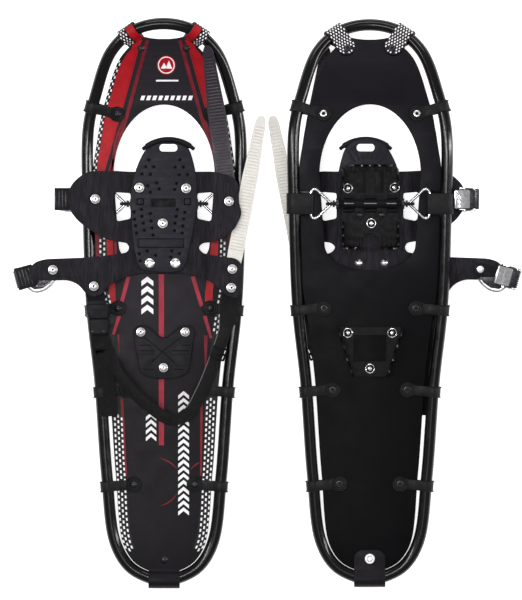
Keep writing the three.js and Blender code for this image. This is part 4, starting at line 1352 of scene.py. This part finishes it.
def buckle_lever():
    """The dark toothed hook that turns on the pin, and the bright thumb plate that runs from it."""
    px, pz = PIN
    hook = [(px - 3.5, pz + 2.2), (px - 4.6, pz - 1.5), (px - 1, pz - 4.2), (px + 7, pz - 5),
            (px + 7, pz - 2.6), (px + 4, pz - 1), (px + 3.2, pz + 2.6), (px + 1.2, pz + 1.2),
            (px - 0.6, pz + 3.2), (px - 2.2, pz + 1.6)]
    dark, bright = bmesh.new(), bmesh.new()
    prism(dark, hook, -12.2, 12.2, 0.35)
    for k in range(9):
        y = -10.4 + 2.6 * k
        box(dark, px - 5.6, px - 1.2, y - 0.75, y + 0.75, pz - 3.0, pz + 2.4, 0.35)
    grip = [(px + 5.5, pz - 4.9), (px + 18, pz - 5.8), (px + 25, pz - 8), (px + 27, pz - 7.4),
            (px + 20, pz - 3.6), (px + 8, pz - 2.6), (px + 5.5, pz - 2.5)]
    prism(bright, grip, -12.2, 12.2, 0.8)
    return dark, bright


def spring():
    px, pz = PIN
    out = bmesh.new()
    for s in (-1, 1):
        path = [V(px + 2.7 * math.cos(a), s * (9.5 - 0.16 * a), pz + 2.7 * math.sin(a)) for a in
                (2 * math.pi * i / 14 for i in range(14 * 3))]
        sweep(out, path, circle(0.45, 7), side=(0, 1, 0))
    return out


def buckles():
    px, pz = PIN
    for name, at, turn, body, end in (("toe", (-92, 6), 0, "frame", -55),
                                      ("instep", (-149, -89), 15, "binding", -51)):
        def put_on(what, bm, mat, body, *cad):
            piece(f"{name}_buckle_{what}", moved(bm, math.radians(turn), (*at, 0)), mat, body, *cad)

        base, cheeks, ribs = buckle_base(end)
        put_on("ribs", ribs, "dark_rivet", body)
        put_on("base", base, "black_steel", body, [f"{name}_buckle_base"])
        put_on("cheeks", cheeks, "wire", body)
        hook, grip = buckle_lever()
        put_on("lever", hook, "dark_rivet", f"{name}_lever", [f"{name}_buckle_lever"])
        put_on("thumb_plate", grip, "wire", f"{name}_lever")
        pin = bmesh.new()
        sweep(pin, [V(px, y, pz) for y in (-14.6, 0, 14.6)], circle(1.5, 16), side=(0, 0, 1))
        put_on("pin", joined(pin, spring()), "wire", body)
    # the bent wires that show past the harness's edge
    z = BZ - 3.2
    outer = [(-183, -113, z), (-174, -118.5, z), (-163, -117, z), (-153, -110.5, z), (-146, -102, z)]
    inner = [(-181, -107, z + 1), (-170, -111, z + 1), (-158, -109, z + 1), (-149, -101, z + 1)]
    wires = sweep(bmesh.new(), crom([V(*p) for p in outer], 30), circle(1.3, 10))
    sweep(wires, crom([V(*p) for p in inner], 24), circle(0.8, 8))
    piece("instep_buckle_wire", wires, "rod", "binding", smooth=60)
    tongue = [(-148, -99), (-183, -99), (-183, -110), (-174, -115.5), (-163, -114), (-153, -107)]
    piece("instep_buckle_tongue", flat(tongue, z - 1.2, 1.6, 0.4), "dark_rivet", "binding")
    bend = [V(x, y, z) for x, y in ((-143, -3), (-139, -7.5), (-133, -9.6), (-124, -10))]
    piece("toe_buckle_wire", sweep(bmesh.new(), crom(bend, 24), circle(1.2, 10)), "rod", "toe_lever",
          smooth=60)


# ---------------------------------------------------------------- heel strap
WEB = [(-86, -181), (-79, -203), (-64, -225), (-44, -250), (-19, -273), (10, -290), (33, -282), (51, -252),
       (67, -214), (79, -180), (87, -150), (89, -129)]
WEBZ = 11.7


def web_section(w, i=0):
    t = 0.9
    return [(w, -t * 0.5), (w, t * 0.5), (w - 0.7, t * 1.05), (w - 1.6, t), (0, t), (-w + 1.6, t),
            (-w + 0.7, t * 1.05), (-w, t * 0.5), (-w, -t * 0.5), (-w + 0.7, -t * 1.05), (-w + 1.6, -t),
            (0, -t), (w - 1.6, -t), (w - 0.7, -t * 1.05)]


def webbing(points, n, tilt=lambda t: 0.0, up=lambda t: 0.0, w=12.5):
    line = crom([V(x, y, WEBZ) for x, y in points], n)
    for i, p in enumerate(line):
        p.z += up(i / n)

    def side(i):
        a, b = line[max(0, i - 1)], line[min(n, i + 1)]
        t = (b - a).normalized()
        flat_side = t.cross(V(0, 0, 1)).normalized()
        return Matrix.Rotation(tilt(i / n), 3, t) @ flat_side

    bm = bmesh.new()
    return sweep(bm, line, web_section(w), side=side)


def bell(t, a, b, k=0.12):
    """0 outside a..b, easing to 1 inside."""
    up = min(1, max(0, (t - a) / k))
    dn = min(1, max(0, (b - t) / k))
    e = lambda x: x * x * (3 - 2 * x)
    return e(up) * e(dn)


def lean(t):
    """How far the strap is turned on edge, along its run."""
    return math.radians(50) * bell(t, 0.07, 0.97, 0.1)


def high(t):
    return 4.6 * bell(t, 0.06, 0.97, 0.12)


def turned(line, i):
    """The strap's direction at a point of its line, and the direction across it."""
    t = (line[min(120, i + 1)] - line[max(0, i - 1)]).normalized()
    return t, Matrix.Rotation(lean(i / 120), 3, t) @ t.cross(V(0, 0, 1)).normalized()


def heel_strap():
    main = webbing(WEB, 120, tilt=lean, up=high)
    tail = webbing([(-86, -181), (-81, -215), (-76.5, -250), (-75, -286)], 40,
                   up=lambda t: -3.2 * bell(t, 0.3, 1.4, 0.4), w=12.0)
    piece("heel_strap", joined(main, tail), "webbing", "heel_strap_loop", ["heel_strap"], smooth=40)
    # the woven edge that shows along the upper side of the turned strap
    line = crom([V(x, y, WEBZ) for x, y in WEB], 120)
    low = [p + V(0, 0, high(i / 120)) for i, p in enumerate(line)]
    edge = []
    for i in range(64, 112):
        out = turned(line, i)[1]
        edge.append(low[i] + out * (12.3 if out.z > 0 else -12.3))
    hem = sweep(bmesh.new(), edge, circle(0.75, 8), side=(0, 0, 1))
    piece("heel_strap_hem", hem, "selvage", "heel_strap_loop", smooth=60)
    # short loops that hold the strap and the clasp to the harness's rear lobes
    loops = bmesh.new()
    for x, y0, x1, y1 in ((-94, -111, -89, -131), (90.5, -113, 89, -131)):
        run = [V(x, y0 + 3, WZ - 1.1), V(x, y0 - 6, WZ - 1.2), V((x + x1) / 2, (y0 + y1) / 2 - 3, WZ - 1.7),
               V(x1, y1, WEBZ)]
        sweep(loops, run, web_section(12.2), side=(1, 0, 0))
    piece("heel_strap_loops", loops, "webbing", "binding", smooth=40)
    # slider on the right run, lying in the turned strap's own plane
    holes = [slot_loop(-12.6, 12.6, y, y + 4.8, 0.8, 2)[::-1] for y in (1.6, -6.4)]
    slider = flat(slot_loop(-15, 15, -9, 9, 2, 4), 1.2, 2.2, 0.6, holes)
    i = min(range(60, 115), key=lambda k: abs(line[k].y + 200))
    t, across = turned(line, i)
    if across.x < 0:
        across = -across
    normal = across.cross(t).normalized()
    if normal.z < 0:
        normal = -normal
    place = Matrix((across, normal.cross(across), normal)).transposed().to_4x4()
    place.translation = low[i]
    bmesh.ops.transform(slider, matrix=place, verts=slider.verts)
    piece("strap_slider", slider, "clasp", "heel_strap_loop")


CLASP_Z = (10.8, 19.8)


def clasp():
    """A side-release clasp: the socket's shell above, the pronged plug below it."""
    z0, z1 = CLASP_Z
    shell = [(-103, -146), (-101, -154.6), (-75.5, -154.6), (-74, -146), (-74.5, -136.5), (-76, -135),
             (-103, -135), (-104.5, -136.5)]
    socket = flat(smooth_corners(shell, 1.5), z0, z1 - z0, 1.6, seg=3)
    # the socket's low bar, which clears the harness when the strap folds up
    socket = joined(socket, flat([(-102, -138), (-77, -138), (-77, -130), (-102, -130)], z0, 2.6, 0.6))
    for k in range(3):
        y = -144 - 3.4 * k
        box(socket, -97 + 1.5 * k, -80 - 1.5 * k, y, y + 1.8, z1 - 0.4, z1 + 0.35, 0.3)
    piece("clasp_female", socket, "clasp", "heel_strap_loop", ["clasp_female"])
    plug = [(-98.5, -163), (-96, -173), (-94, -176), (-76, -176), (-74.4, -173), (-74, -163), (-75.4, -155.2),
            (-101, -155.2)]
    plug = flat(smooth_corners(plug, 1.5), z0, z1 - z0 - 0.6, 1.4, seg=3)
    piece("clasp_male", plug, "clasp", "heel_strap_loop", ["clasp_male"])
    # the prongs are painted light grey, a painted highlight on them
    prongs = bmesh.new()
    for k, (y, reach) in enumerate(((-139.5, 1.6), (-145, 1.9), (-150.5, 1.6))):
        box(prongs, -104.4 - reach + 0.6 * k, -101 + 0.6 * k, y - 2.6, y + 2.2, z0 + 2, z1 - 2, 0.8)
    # four small light grey blocks at the clasp's corners are painted glints
    for x, y in ((-97.5, -137.5), (-82.5, -137.5), (-96, -171.5), (-81, -171.5)):
        box(prongs, x - 1.6, x + 1.6, y - 0.5, y + 0.5, z1 - 1.4, z1 - 0.1, 0.25)
    piece("clasp_prongs_and_glints", prongs, "selvage", "heel_strap_loop")
    # a dark strip of painted shade in the seam between socket and plug
    seam = box(bmesh.new(), -100, -76, -156.2, -153.4, z1 - 3, z1 - 0.9, 0.3)
    piece("clasp_seam_shade", seam, "recess", "heel_strap_loop")
    turn = flat([(-97, -195), (-74, -195), (-75, -172), (-98, -172)], z0 - 0.2, 2.4, 0.5)
    piece("clasp_webbing", turn, "webbing", "heel_strap_loop")


# ---------------------------------------------------------------- build
frame_tube()
clips()
deck()
printing()
pivot()
heel_plate()
foot_plate()
crampon_fittings()
harness()
straps()
buckles()
heel_strap()
clasp()
for node in ("pivot_axle", "hinge_barrel", "toe_crampon", "heel_crampon"):
    dress(node)

# ---------------------------------------------------------------- floor, light, camera
scene = bpy.context.scene
me = bpy.data.meshes.new("floor")
me.from_pydata([(-4, -4, 0), (4, -4, 0), (4, 4, 0), (-4, 4, 0)], [], [(0, 1, 2, 3)])
floor = bpy.data.objects.new("floor", me)
fm = bpy.data.materials.new("floor")
fm.use_nodes = True
fb = fm.node_tree.nodes["Principled BSDF"]
fb.inputs["Base Color"].default_value = (0.93, 0.93, 0.93, 1)
fb.inputs["Roughness"].default_value = 0.9
fb.inputs["Specular IOR Level"].default_value = 0.1
fb.inputs["Emission Color"].default_value = (1, 1, 1, 1)
fb.inputs["Emission Strength"].default_value = 0.7
me.materials.append(fm)
scene.collection.objects.link(floor)

world = bpy.data.worlds.new("studio")
world.use_nodes = True
world.node_tree.nodes["Background"].inputs["Color"].default_value = (1, 1, 1, 1)
world.node_tree.nodes["Background"].inputs["Strength"].default_value = 0.36
scene.world = world


def area(name, loc, size, power):
    """A softbox that faces the middle of the floor."""
    la = bpy.data.lights.new(name, "AREA")
    la.shape = "RECTANGLE"
    la.size, la.size_y = size
    la.energy = power
    ob = bpy.data.objects.new(name, la)
    ob.location = loc
    ob.rotation_euler = (-Vector(loc)).to_track_quat("-Z", "Y").to_euler()
    scene.collection.objects.link(ob)


area("softbox_left", (-1.35, 0.3, 2.9), (0.2, 3.4), 58)
area("softbox_right", (2.5, 0.3, 0.95), (0.16, 3.2), 44)
area("softbox_top", (0, 0, 7.6), (3.2, 3.2), 44)
area("softbox_toe", (0, 2.3, 1.5), (2.2, 0.4), 22)

cam = bpy.data.cameras.new("camera")
cam.lens = 300
cam.sensor_width = 36
co = bpy.data.objects.new("camera", cam)
co.location = (-0.0081, 0.0069, 6.759)
scene.collection.objects.link(co)
scene.camera = co
scene.view_settings.view_transform = "Standard"
